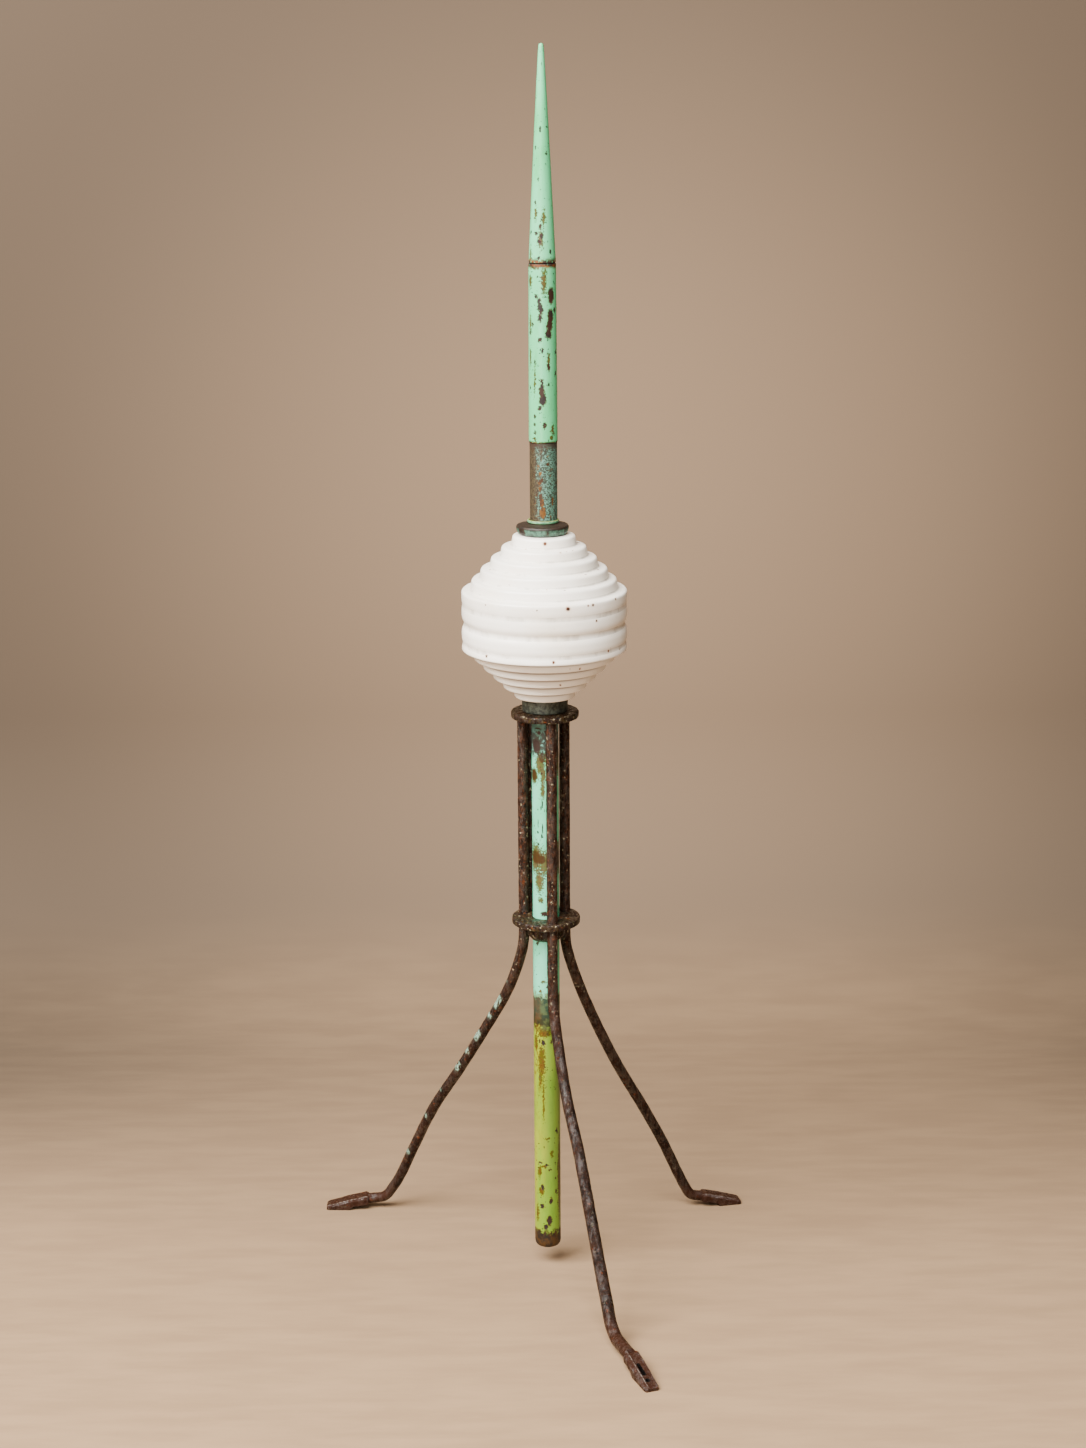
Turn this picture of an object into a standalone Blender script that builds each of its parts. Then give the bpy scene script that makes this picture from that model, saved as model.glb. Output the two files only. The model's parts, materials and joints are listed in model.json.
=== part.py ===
"""Lightning rod: a painted spear and mast through a ribbed ceramic ball, on a three-legged iron stand.

Metres, +Z up, feet on the ground. Heights are measured on the mast's axis. Azimuths are in degrees,
0 towards the viewer (-Y) and positive towards the viewer's right (+X).
"""
from math import cos, pi, radians, sin

import bmesh
import bpy
from mathutils import Vector

# Play between pieces that touch or pass through each other
GAP = 0.0003
BALL_BORE_PLAY = 0.0008

# Mast, from its rounded end above the ground to the top of the bare neck
MAST_RADIUS = 0.0095
MAST_END_HEIGHT = 0.0144
MAST_END_ROUNDING = 0.0055
MAST_END_ANGLES = (20, 45, 70, 90)
NECK_LENGTH = 0.0556

# Painted tube and spear above the neck
TUBE_LENGTH = 0.1210
TUBE_BOTTOM_RADIUS = 0.0099
TUBE_TOP_RADIUS = 0.0093
SPEAR_LENGTH = 0.1433
SPEAR_BASE_RADIUS = 0.0092
SPEAR_TIP_RADIUS = 0.0017
SPEAR_FULLNESS = 0.90
SPEAR_TIP_BEVEL = (0.6, 0.3)  # shares of the tip radius: across, down

# Ring, cap and collar round the mast; ring and cap sit a little to the viewer's left of the mast's axis
RING_RADIUS = 0.0110
RING_HEIGHT = 0.0019
RING_ROUNDING = 0.0006
RING_OFFSET = 0.0004
CAP_RADIUS = 0.0182
CAP_FOOT_RADIUS = 0.0171
CAP_HEIGHT = 0.0056  # at the rim; the top rises from there to the ring
CAP_DOME = 0.0016
CAP_ROUNDING = 0.0013
CAP_OFFSET = 0.0009
COLLAR_RADIUS = 0.0161
COLLAR_HEIGHT = 0.0097
COLLAR_ROUNDING = 0.0006

# Ball: radii of the stepped tiers counted from the poles towards the belt
BALL_RADIUS = 0.0576
BALL_WALL = 0.0050
CAVITY_INSET_SHARE = 0.75  # of the wall, taken both inwards and along the axis at a riser's foot
UPPER_TIER_RADII = (0.0216, 0.0293, 0.0366, 0.0438, 0.0503)
UPPER_TIER_HEIGHT = 0.0077
BELT_HEIGHT = 0.0430
LOWER_TIER_RADII = (0.0211, 0.0289, 0.0358, 0.0428, 0.0493)
LOWER_TIER_HEIGHT = 0.0069
TIER_ROUNDING = 0.0018
TIER_FLARE = 0.0010
# Belt grooves: drop below the belt's top edge, depth, half width
BELT_GROOVES = ((0.0108, 0.0006, 0.0012), (0.0241, 0.0021, 0.0026), (0.0376, 0.0008, 0.0013))

# Plates and the hub under the lower one
LOWER_PLATE_TOP = 0.2705
LOWER_PLATE_RADIUS = 0.0243
LOWER_PLATE_THICKNESS = 0.0047
UPPER_PLATE_RADIUS = 0.0238
UPPER_PLATE_THICKNESS = 0.0046
PLATE_SPACING = 0.1472
PLATE_EDGE_BEVEL = 0.0005
HUB_RADIUS = 0.0135
HUB_END_RADIUS = 0.0104
HUB_HEIGHT = 0.0121
HUB_CONE_HEIGHT = 0.0034

# Bars: the legs' upper ends and the rear upright stand on one circle between the plates
BAR_RADIUS = 0.0038
BAR_CIRCLE_RADIUS = 0.0179
REAR_UPRIGHT_AZIMUTH = -147.0

# A leg's sweep below the plates: shares of its drop to the heel at which each leg's bends are given
SWEEP_UP = (0.917, 0.786, 0.644, 0.498, 0.348, 0.200, 0.083, 0.038, 0.0165, 0.0055)
HEEL_HEIGHT = 0.0076
FOOT_TURN_RUN = 0.032

# Each leg, bent by hand and so a little different: seat, sweep and foot azimuths, run, shares of the run
# reached at the heights of SWEEP_UP, height where it leaves the upright, straight tail, bar radius at the
# heel, foot length and foot half width
LEGS = {
    "left_leg": dict(
        seat=-117.4, sweep=-130.0, foot=-90.0, run=0.1534, start=0.2620, tail=0.0,
        out=(0.014, 0.104, 0.253, 0.416, 0.593, 0.731, 0.833, 0.881, 0.907, 0.938),
        heel_radius=0.0038, foot_length=0.0330, foot_half_width=0.0065),
    "right_leg": dict(
        seat=130.5, sweep=133.0, foot=100.0, run=0.1372, start=0.2620, tail=0.0,
        out=(0.014, 0.110, 0.244, 0.400, 0.583, 0.752, 0.862, 0.905, 0.928, 0.954),
        heel_radius=0.0039, foot_length=0.0310, foot_half_width=0.0062),
    "front_leg": dict(
        seat=13.9, sweep=19.5, foot=20.3, run=0.1287, start=0.2250, tail=0.0225,
        out=(0.014, 0.102, 0.226, 0.417, 0.573, 0.724, 0.850, 0.892, 0.930, 0.966),
        heel_radius=0.0045, foot_length=0.0400, foot_half_width=0.0058),
}

# Foot sections: shares of the foot's length and half width, underside and top as shares of its height
FOOT_HEIGHT = 0.0110
FOOT_SECTIONS = (
    (0.02, 0.86, 0.38, 0.95), (0.08, 0.98, 0.36, 1.0), (0.37, 1.0, 0.24, 0.80),
    (0.46, 1.0, 0.0, 0.74), (0.95, 0.92, 0.0, 0.34), (1.0, 0.80, 0.0, 0.25),
)
FOOT_SOLE_CHAMFER = 0.0006
FOOT_RIDGE_INSET = 0.0018
FOOT_RIDGE_DROP = 0.0016
FOOT_EDGE_LIMIT = 0.6  # largest share of the half height that a chamfer takes

# Holes through the front foot, measured back from the toe
FRONT_FOOT = "front_leg"
TOE_HOLE_SETBACK = 0.0082
TOE_HOLE_RADIUS = 0.0015
SLOT_SETBACK = 0.0198
SLOT_LENGTH = 0.0125
SLOT_RADIUS = 0.0013

# Facets
ROD_SIDES = 24
DISC_SIDES = 32
BALL_SIDES = 36
BAR_SIDES = 12
SPEAR_STEPS = 9
SWEEP_STEPS = 2
SMOOTH_ANGLE = radians(32)
CUTTER_EXCESS = 4  # cutter height against the thickness it goes through

# Heights that follow from the sizes above
LOWER_PLATE_BOTTOM = LOWER_PLATE_TOP - LOWER_PLATE_THICKNESS
UPPER_PLATE_BOTTOM = LOWER_PLATE_TOP + PLATE_SPACING
UPPER_PLATE_TOP = UPPER_PLATE_BOTTOM + UPPER_PLATE_THICKNESS
COLLAR_BOTTOM = UPPER_PLATE_TOP + GAP
BALL_BOTTOM = COLLAR_BOTTOM + COLLAR_HEIGHT + GAP
BELT_BOTTOM = BALL_BOTTOM + LOWER_TIER_HEIGHT * len(LOWER_TIER_RADII)
BELT_TOP = BELT_BOTTOM + BELT_HEIGHT
BALL_TOP = BELT_TOP + UPPER_TIER_HEIGHT * len(UPPER_TIER_RADII)
CAP_BOTTOM = BALL_TOP + GAP
CAP_TOP = CAP_BOTTOM + CAP_HEIGHT + CAP_DOME
RING_BOTTOM = CAP_TOP + GAP
MAST_TOP = CAP_TOP + NECK_LENGTH
TUBE_BOTTOM = MAST_TOP + GAP
SPEAR_BOTTOM = TUBE_BOTTOM + TUBE_LENGTH + GAP
BORE_RADIUS = MAST_RADIUS + GAP


def clear_scene():
    for obj in list(bpy.data.objects):
        bpy.data.objects.remove(obj, do_unlink=True)


def paint(name, colour, roughness, metallic=0.0):
    """A plain Principled material."""
    material = bpy.data.materials.new(name)
    material.use_nodes = True
    shader = material.node_tree.nodes["Principled BSDF"]
    shader.inputs["Base Color"].default_value = (*colour, 1.0)
    shader.inputs["Roughness"].default_value = roughness
    shader.inputs["Metallic"].default_value = metallic
    return material


def heading(azimuth):
    """Level direction of an azimuth in degrees."""
    return Vector((sin(radians(azimuth)), -cos(radians(azimuth)), 0.0))


def turns(sides):
    """Angles of the points round a ring."""
    return [2 * pi * k / sides for k in range(sides)]


def skin(bm, first, second):
    """Faces between two rings, either of which may be a single point."""
    count = max(len(first), len(second))
    for i in range(count):
        j = (i + 1) % count
        corners = [first[i % len(first)], first[j % len(first)], second[j % len(second)], second[i % len(second)]]
        bm.faces.new(list(dict.fromkeys(corners)))


def finish(name, bm, material, stand, height=0.0):
    """Turn a bmesh into a named, smooth-shaded child of the stand."""
    bmesh.ops.recalc_face_normals(bm, faces=bm.faces)
    mesh = bpy.data.meshes.new(name)
    bm.to_mesh(mesh)
    bm.free()
    mesh.materials.append(material)
    mesh.shade_smooth()
    mesh.set_sharp_from_angle(angle=SMOOTH_ANGLE)
    obj = bpy.data.objects.new(name, mesh)
    obj.location.z = height
    obj.parent = stand
    bpy.context.collection.objects.link(obj)
    return obj


def turned(name, outline, sides, material, stand, height=0.0):
    """Revolve an outline of (radius, height) points about the mast's axis.

    An outline that starts and ends on the axis makes a solid piece; any other is closed into a ring.
    """
    bm = bmesh.new()
    rings = []
    for radius, z in outline:
        if radius == 0.0:
            rings.append([bm.verts.new((0.0, 0.0, z))])
            continue
        rings.append([bm.verts.new((radius * cos(a), radius * sin(a), z)) for a in turns(sides)])
    if outline[0][0] > 0.0:
        rings.append(rings[0])
    for first, second in zip(rings, rings[1:]):
        skin(bm, first, second)
    return finish(name, bm, material, stand, height)


def spear_outline():
    """Taper that fills out below a blunt tip."""
    points = [(0.0, 0.0)]
    body = SPEAR_LENGTH - SPEAR_TIP_RADIUS
    for k in range(SPEAR_STEPS):
        down = 1.0 - k / (SPEAR_STEPS - 1)
        radius = SPEAR_TIP_RADIUS + (SPEAR_BASE_RADIUS - SPEAR_TIP_RADIUS) * down ** SPEAR_FULLNESS
        points.append((radius, body * (1.0 - down)))
    across, below = SPEAR_TIP_BEVEL
    points.append((SPEAR_TIP_RADIUS * across, SPEAR_LENGTH - SPEAR_TIP_RADIUS * below))
    points.append((0.0, SPEAR_LENGTH))
    return points


def mast_outline():
    """Plain rod with a rounded lower end."""
    points = [(0.0, MAST_END_HEIGHT)]
    for angle in MAST_END_ANGLES:
        inset = MAST_END_ROUNDING * (1.0 - sin(radians(angle)))
        rise = MAST_END_ROUNDING * (1.0 - cos(radians(angle)))
        points.append((MAST_RADIUS - inset, MAST_END_HEIGHT + rise))
    points += [(MAST_RADIUS, MAST_TOP), (0.0, MAST_TOP)]
    return points


def washer_outline(bore, radius, height, rounding):
    """Ring section with cut corners."""
    return [
        (bore, 0.0), (radius - rounding, 0.0), (radius, rounding),
        (radius, height - rounding), (radius - rounding, height), (bore, height),
    ]


def cap_outline():
    """Thick domed washer, narrower at its foot, its bore loose enough for the offset."""
    bore = BORE_RADIUS + CAP_OFFSET
    corner = CAP_ROUNDING * (1.0 - cos(pi / 4))
    return [
        (bore, 0.0), (CAP_FOOT_RADIUS, 0.0), (CAP_RADIUS, CAP_HEIGHT / 2), (CAP_RADIUS, CAP_HEIGHT - CAP_ROUNDING),
        (CAP_RADIUS - corner, CAP_HEIGHT - corner), (CAP_RADIUS - CAP_ROUNDING, CAP_HEIGHT),
        (RING_RADIUS, CAP_HEIGHT + CAP_DOME), (bore, CAP_HEIGHT + CAP_DOME),
    ]


def tier_points(radius, edge, direction):
    """Outer corner of a tier whose free edge faces up (+1) or down (-1), then the flared riser foot."""
    height = UPPER_TIER_HEIGHT if direction > 0 else LOWER_TIER_HEIGHT
    return [
        (radius - TIER_ROUNDING, edge), (radius, edge - direction * TIER_ROUNDING),
        (radius + TIER_FLARE, edge - direction * height),
    ]


def belt_points():
    """The upright belt with its grooves, from its top edge to its bottom edge."""
    points = [(BALL_RADIUS - TIER_ROUNDING, BELT_TOP), (BALL_RADIUS, BELT_TOP - TIER_ROUNDING)]
    for drop, depth, half_width in BELT_GROOVES:
        middle = BELT_TOP - drop
        points += [
            (BALL_RADIUS, middle + half_width), (BALL_RADIUS - depth, middle), (BALL_RADIUS, middle - half_width),
        ]
    points += [
        (BALL_RADIUS, BELT_BOTTOM + 2 * TIER_ROUNDING), (BALL_RADIUS - TIER_ROUNDING, BELT_BOTTOM),
    ]
    return points


def cavity_points():
    """Inner wall from the bottom pole up to the top pole, following the risers' feet."""
    inset = BALL_WALL * CAVITY_INSET_SHARE
    bore = MAST_RADIUS + BALL_BORE_PLAY
    points = [(bore, BALL_BOTTOM), (bore, BALL_BOTTOM + BALL_WALL)]
    for k, radius in enumerate(LOWER_TIER_RADII):
        foot = BALL_BOTTOM + LOWER_TIER_HEIGHT * (k + 1)
        points.append((radius + TIER_FLARE - inset, foot + inset))
    belt_inner = BALL_RADIUS - BALL_WALL
    points += [(belt_inner, BELT_BOTTOM + BALL_WALL + inset), (belt_inner, BELT_TOP - BALL_WALL - inset)]
    for k, radius in reversed(list(enumerate(UPPER_TIER_RADII))):
        foot = BALL_TOP - UPPER_TIER_HEIGHT * (k + 1)
        points.append((radius + TIER_FLARE - inset, foot - inset))
    points += [(bore, BALL_TOP - BALL_WALL), (bore, BALL_TOP)]
    return points


def ball_outline():
    """Stepped outside from the top pole down, then the cavity back up."""
    points = []
    for k, radius in enumerate(UPPER_TIER_RADII):
        points += tier_points(radius, BALL_TOP - UPPER_TIER_HEIGHT * k, +1)
    points += belt_points()
    for k, radius in reversed(list(enumerate(LOWER_TIER_RADII))):
        points += reversed(tier_points(radius, BALL_BOTTOM + LOWER_TIER_HEIGHT * k, -1))
    return points + cavity_points()


def plate_outline(bore, radius, thickness):
    return washer_outline(bore, radius, thickness, PLATE_EDGE_BEVEL)


def lower_plate_outline():
    """Disc with the hub under it, measured from the hub's lower end."""
    disc = [(r, z + HUB_HEIGHT) for r, z in plate_outline(BORE_RADIUS, LOWER_PLATE_RADIUS, LOWER_PLATE_THICKNESS)]
    hub = [(BORE_RADIUS, 0.0), (HUB_END_RADIUS, 0.0), (HUB_RADIUS, HUB_CONE_HEIGHT), (HUB_RADIUS, HUB_HEIGHT)]
    return hub + disc[1:]


def cutter(name, radius, height, material, stand, centre, stretch=0.0, azimuth=0.0):
    """Upright round or slot-shaped cutter; a stretch makes a slot along the azimuth."""
    bm = bmesh.new()
    along = heading(azimuth)
    across = Vector((-along.y, along.x, 0.0))
    rings = []
    for z in (-height / 2, height / 2):
        ring = []
        for k in range(BAR_SIDES):
            angle = 2 * pi * (k + 0.5) / BAR_SIDES
            end = stretch / 2 if cos(angle) > 0 else -stretch / 2
            offset = along * (radius * cos(angle) + end) + across * radius * sin(angle)
            ring.append(bm.verts.new(offset + Vector((0.0, 0.0, z))))
        rings.append(ring)
        bm.faces.new(ring)
    skin(bm, rings[0], rings[1])
    obj = finish(name, bm, material, stand)
    obj.location = centre
    obj.hide_render = True
    obj.display_type = "WIRE"
    return obj


def cut(target, tool):
    """Subtract a cutter from a piece."""
    modifier = target.modifiers.new("cut_" + tool.name, "BOOLEAN")
    modifier.operation = "DIFFERENCE"
    modifier.solver = "EXACT"
    modifier.object = tool


def smooth_through(points, steps):
    """Catmull-Rom curve through (share out, share up) points."""
    padded = [points[0], *points, points[-1]]
    curve = []
    for k in range(1, len(padded) - 2):
        p0, p1, p2, p3 = (Vector(padded[k + n]) for n in (-1, 0, 1, 2))
        for step in range(steps):
            t = step / steps
            curve.append(0.5 * (2 * p1 + (p2 - p0) * t + (2 * p0 - 5 * p1 + 4 * p2 - p3) * t ** 2
                                + (3 * p1 - p0 - 3 * p2 + p3) * t ** 3))
    curve.append(Vector(points[-1]))
    return curve


def leg_path(leg):
    """Centre points from under the upper plate to the heel, each with its plan azimuth and bar radius."""
    seat = heading(leg["seat"]) * BAR_CIRCLE_RADIUS
    drop = leg["start"] - HEEL_HEIGHT
    path = [(seat + Vector((0.0, 0.0, UPPER_PLATE_BOTTOM - GAP)), leg["sweep"], BAR_RADIUS)]
    plan, reached = seat.copy(), 0.0
    bends = [(0.0, 1.0), *zip(leg["out"], SWEEP_UP), (1.0, 0.0)]
    for out, up in smooth_through(bends, SWEEP_STEPS):
        run = out * leg["run"]
        turn = max(0.0, run - leg["run"] + FOOT_TURN_RUN) / FOOT_TURN_RUN
        azimuth = leg["sweep"] + (leg["foot"] - leg["sweep"]) * turn
        plan += heading(azimuth) * (run - reached)
        reached = run
        radius = BAR_RADIUS + (leg["heel_radius"] - BAR_RADIUS) * out
        path.append((plan + Vector((0.0, 0.0, HEEL_HEIGHT + up * drop)), azimuth, radius))
    if leg["tail"] > 0.0:
        end = plan + heading(leg["foot"]) * leg["tail"] + Vector((0.0, 0.0, HEEL_HEIGHT))
        path.append((end, leg["foot"], leg["heel_radius"]))
    return path


def bar_ring(bm, path, index):
    """Round section square to the path, its first point level with the side of the foot."""
    centre, azimuth, radius = path[index]
    before = path[max(index - 1, 0)][0]
    after = path[min(index + 1, len(path) - 1)][0]
    tangent = (after - before).normalized()
    across = heading(azimuth + 90.0)
    upward = tangent.cross(across).normalized()
    across = upward.cross(tangent)
    return [bm.verts.new(centre + (across * cos(a) + upward * sin(a)) * radius) for a in turns(BAR_SIDES)]


def foot_ring(bm, leg, heel, section):
    """Flattened section in step with the bar's points: sloping ridges above, small chamfers at the sole."""
    share, width_share, low_share, high_share = section
    low, high = low_share * FOOT_HEIGHT, high_share * FOOT_HEIGHT
    across = heading(leg["foot"] + 90.0)
    centre = Vector((heel.x, heel.y, (low + high) / 2)) + heading(leg["foot"]) * share * leg["foot_length"]
    half_width, half_height = leg["foot_half_width"] * width_share, (high - low) / 2
    ridge = min(FOOT_RIDGE_DROP, half_height * FOOT_EDGE_LIMIT)
    sole = min(FOOT_SOLE_CHAMFER, half_height * FOOT_EDGE_LIMIT)
    top = [(half_width, half_height - ridge), (half_width - FOOT_RIDGE_INSET, half_height)]
    bottom = [(half_width, sole - half_height), (half_width - sole, -half_height)]
    corners = [(half_width, 0.0), *top, (0.0, half_height)]
    corners += [(-x, z) for x, z in reversed(top)] + [(-half_width, 0.0)] + [(-x, z) for x, z in bottom]
    corners += [(0.0, -half_height), *reversed(bottom)]
    return [bm.verts.new(centre + across * x + Vector((0.0, 0.0, z))) for x, z in corners]


def build_leg(name, leg, material, stand):
    """Upright, sweep and foot as one forged bar."""
    bm = bmesh.new()
    path = leg_path(leg)
    rings = [bar_ring(bm, path, index) for index in range(len(path))]
    heel = path[-1][0]
    rings += [foot_ring(bm, leg, heel, section) for section in FOOT_SECTIONS]
    for first, second in zip(rings, rings[1:]):
        skin(bm, first, second)
    bm.faces.new(rings[0])
    bm.faces.new(rings[-1])
    return finish(name, bm, material, stand), heel


def drill_foot(obj, heel, leg, stand):
    """Round hole near the toe and a slot behind it, both right through the foot."""
    material = obj.data.materials[0]
    height = CUTTER_EXCESS * FOOT_HEIGHT
    ahead = heading(leg["foot"])
    ground = Vector((heel.x, heel.y, 0.0))
    hole_centre = ground + ahead * (leg["foot_length"] - TOE_HOLE_SETBACK)
    slot_centre = ground + ahead * (leg["foot_length"] - SLOT_SETBACK)
    hole = cutter("toe_hole_cutter", TOE_HOLE_RADIUS, height, material, stand, hole_centre)
    slot_run = SLOT_LENGTH - 2 * SLOT_RADIUS
    slot = cutter("slot_cutter", SLOT_RADIUS, height, material, stand, slot_centre, slot_run, leg["foot"])
    cut(obj, hole)
    cut(obj, slot)


def build_rear_upright(material, stand):
    """Straight bar between the plates."""
    length = PLATE_SPACING - 2 * GAP
    outline = [(0.0, 0.0), (BAR_RADIUS, 0.0), (BAR_RADIUS, length), (0.0, length)]
    obj = turned("rear_upright", outline, BAR_SIDES, material, stand, LOWER_PLATE_TOP + GAP)
    obj.location += heading(REAR_UPRIGHT_AZIMUTH) * BAR_CIRCLE_RADIUS


def build_rod(materials, stand):
    """Spear, tube and mast, one above the other."""
    turned("spear_point", spear_outline(), ROD_SIDES, materials["paint"], stand, SPEAR_BOTTOM)
    tube = [(0.0, 0.0), (TUBE_BOTTOM_RADIUS, 0.0), (TUBE_TOP_RADIUS, TUBE_LENGTH), (0.0, TUBE_LENGTH)]
    turned("upper_tube", tube, ROD_SIDES, materials["paint"], stand, TUBE_BOTTOM)
    turned("mast_rod", mast_outline(), ROD_SIDES, materials["stained_paint"], stand)


def build_ball_stack(materials, stand):
    """Ring, cap, ball and collar threaded on the mast."""
    section = washer_outline(BORE_RADIUS + RING_OFFSET, RING_RADIUS, RING_HEIGHT, RING_ROUNDING)
    ring = turned("neck_ring", section, ROD_SIDES, materials["paint"], stand, RING_BOTTOM)
    ring.location.x = -RING_OFFSET
    cap = turned("top_cap", cap_outline(), DISC_SIDES, materials["patina"], stand, CAP_BOTTOM)
    cap.location.x = -CAP_OFFSET
    turned("ribbed_ball", ball_outline(), BALL_SIDES, materials["glaze"], stand)
    collar = washer_outline(BORE_RADIUS, COLLAR_RADIUS, COLLAR_HEIGHT, COLLAR_ROUNDING)
    turned("bottom_collar", collar, DISC_SIDES, materials["dark_iron"], stand, COLLAR_BOTTOM)


def build_stand(materials, stand):
    """Plates, rear upright and legs; the legs pass through the lower plate."""
    upper = plate_outline(BORE_RADIUS, UPPER_PLATE_RADIUS, UPPER_PLATE_THICKNESS)
    turned("upper_plate", upper, DISC_SIDES, materials["rust"], stand, UPPER_PLATE_BOTTOM)
    hub_end = LOWER_PLATE_BOTTOM - HUB_HEIGHT
    lower = turned("lower_plate", lower_plate_outline(), DISC_SIDES, materials["rust"], stand, hub_end)
    build_rear_upright(materials["rust"], stand)
    legs = []
    for name, leg in LEGS.items():
        obj, heel = build_leg(name, leg, materials["rust"], stand)
        seat = heading(leg["seat"]) * BAR_CIRCLE_RADIUS + Vector((0.0, 0.0, LOWER_PLATE_TOP))
        height = CUTTER_EXCESS * LOWER_PLATE_THICKNESS
        cut(lower, cutter(name + "_hole_cutter", BAR_RADIUS + GAP, height, materials["rust"], stand, seat))
        if name == FRONT_FOOT:
            drill_foot(obj, heel, leg, stand)
        legs.append(obj)
    return legs


def centre_stand(stand, legs):
    """Move the stand so that the middle of the footprint is the origin."""
    corners = [vertex.co for obj in legs for vertex in obj.data.vertices]
    for axis in (0, 1):
        values = [corner[axis] for corner in corners]
        stand.location[axis] = -(min(values) + max(values)) / 2


def main():
    clear_scene()
    stand = bpy.data.objects.new("stand", None)
    bpy.context.collection.objects.link(stand)
    materials = {
        "rust": paint("rusted_iron", (0.075, 0.035, 0.020), 0.55, 0.5),
        "paint": paint("mint_paint", (0.38, 0.68, 0.52), 0.35),
        "stained_paint": paint("stained_mint_paint", (0.36, 0.55, 0.32), 0.4),
        "patina": paint("patinated_metal", (0.10, 0.17, 0.14), 0.5, 0.4),
        "glaze": paint("white_glaze", (0.90, 0.87, 0.82), 0.25),
        "dark_iron": paint("dark_iron", (0.06, 0.07, 0.05), 0.5, 0.5),
    }
    build_rod(materials, stand)
    build_ball_stack(materials, stand)
    legs = build_stand(materials, stand)
    centre_stand(stand, legs)


main()
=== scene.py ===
"""Lightning rod: finer pieces, weathered finishes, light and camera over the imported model.

Metres, +Z up. Azimuths are in degrees, 0 towards the viewer (-Y), positive towards the viewer's right (+X).
Pieces on the mast have their object on the mast's axis, so their own coordinates are measured from it.
"""
import json
from math import cos, pi, radians, sin

import bmesh
import bpy
from mathutils import Matrix, Vector, noise

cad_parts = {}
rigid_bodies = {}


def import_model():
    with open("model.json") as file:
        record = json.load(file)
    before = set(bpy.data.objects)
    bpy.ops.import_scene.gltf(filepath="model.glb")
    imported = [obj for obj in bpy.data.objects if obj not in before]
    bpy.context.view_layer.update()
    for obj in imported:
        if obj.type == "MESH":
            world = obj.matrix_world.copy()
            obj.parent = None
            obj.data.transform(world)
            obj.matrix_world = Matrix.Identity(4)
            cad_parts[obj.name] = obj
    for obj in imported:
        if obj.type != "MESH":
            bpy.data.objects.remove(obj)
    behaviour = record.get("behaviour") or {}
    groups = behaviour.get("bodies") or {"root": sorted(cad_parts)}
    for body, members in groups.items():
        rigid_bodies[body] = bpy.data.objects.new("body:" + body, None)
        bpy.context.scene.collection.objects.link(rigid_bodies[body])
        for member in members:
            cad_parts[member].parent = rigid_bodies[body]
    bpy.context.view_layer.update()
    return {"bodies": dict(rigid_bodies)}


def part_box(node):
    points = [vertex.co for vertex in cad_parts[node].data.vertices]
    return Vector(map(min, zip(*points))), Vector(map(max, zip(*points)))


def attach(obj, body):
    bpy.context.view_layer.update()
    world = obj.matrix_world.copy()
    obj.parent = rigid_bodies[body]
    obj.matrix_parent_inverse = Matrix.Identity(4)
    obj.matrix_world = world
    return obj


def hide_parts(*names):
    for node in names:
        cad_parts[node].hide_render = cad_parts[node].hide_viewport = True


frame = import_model()
body = next(iter(frame["bodies"]))

MM = 0.001


def heights(node):
    """Where a CAD piece begins and ends above the ground."""
    low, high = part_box(node)
    return low[2], high[2]


def middle(node):
    low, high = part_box(node)
    return Vector(((low[0] + high[0]) / 2, (low[1] + high[1]) / 2, 0.0))


MAST_END, MAST_TOP = heights("mast_rod")
TUBE_BOTTOM, TUBE_TOP = heights("upper_tube")
SPEAR_BOTTOM, SPEAR_TOP = heights("spear_point")
BALL_BOTTOM, BALL_TOP = heights("ribbed_ball")
CAP_BOTTOM, CAP_TOP = heights("top_cap")
RING_BOTTOM, RING_TOP = heights("neck_ring")
COLLAR_BOTTOM, COLLAR_TOP = heights("bottom_collar")
UPPER_PLATE_BOTTOM, UPPER_PLATE_TOP = heights("upper_plate")
HUB_BOTTOM, LOWER_PLATE_TOP = heights("lower_plate")
AXIS = middle("mast_rod")

# Sizes shared with the solids
GAP = 0.0003
MAST_RADIUS = 0.0095
MAST_END_ROUNDING = 0.0055
TUBE_BOTTOM_RADIUS, TUBE_TOP_RADIUS = 0.0099, 0.0093
SPEAR_BASE_RADIUS, SPEAR_TIP_RADIUS, SPEAR_FULLNESS = 0.0092, 0.0017, 0.90
RING_RADIUS = 0.0110
CAP_RADIUS, CAP_FOOT_RADIUS, CAP_HEIGHT = 0.0182, 0.0171, 0.0056
COLLAR_RADIUS = 0.0161
BALL_RADIUS, BALL_WALL = 0.0576, 0.0050
UPPER_TIER_RADII = (0.0216, 0.0293, 0.0366, 0.0438, 0.0503)
UPPER_TIER_HEIGHT = 0.0077
LOWER_TIER_RADII = (0.0211, 0.0289, 0.0358, 0.0428, 0.0493)
LOWER_TIER_HEIGHT = 0.0069
TIER_ROUNDING = 0.0018
TIER_FLARE = 0.0010
LEDGE_FALL = 0.0010
BELT_GROOVES = ((0.0108, 0.0006, 0.0034), (0.0241, 0.0021, 0.0042), (0.0374, 0.0008, 0.0030))
LOWER_PLATE_RADIUS, LOWER_PLATE_THICKNESS = 0.0243, 0.0047
UPPER_PLATE_RADIUS = 0.0238
HUB_RADIUS, HUB_END_RADIUS, HUB_CONE_HEIGHT = 0.0135, 0.0104, 0.0034
BAR_RADIUS = 0.0038
BAR_CIRCLE_RADIUS = 0.0179
REAR_UPRIGHT_AZIMUTH = -147.0
SWEEP_UP = (0.917, 0.786, 0.644, 0.498, 0.348, 0.200, 0.083, 0.038, 0.0165, 0.0055)
HEEL_HEIGHT = 0.0076
FOOT_TURN_RUN = 0.032
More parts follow.
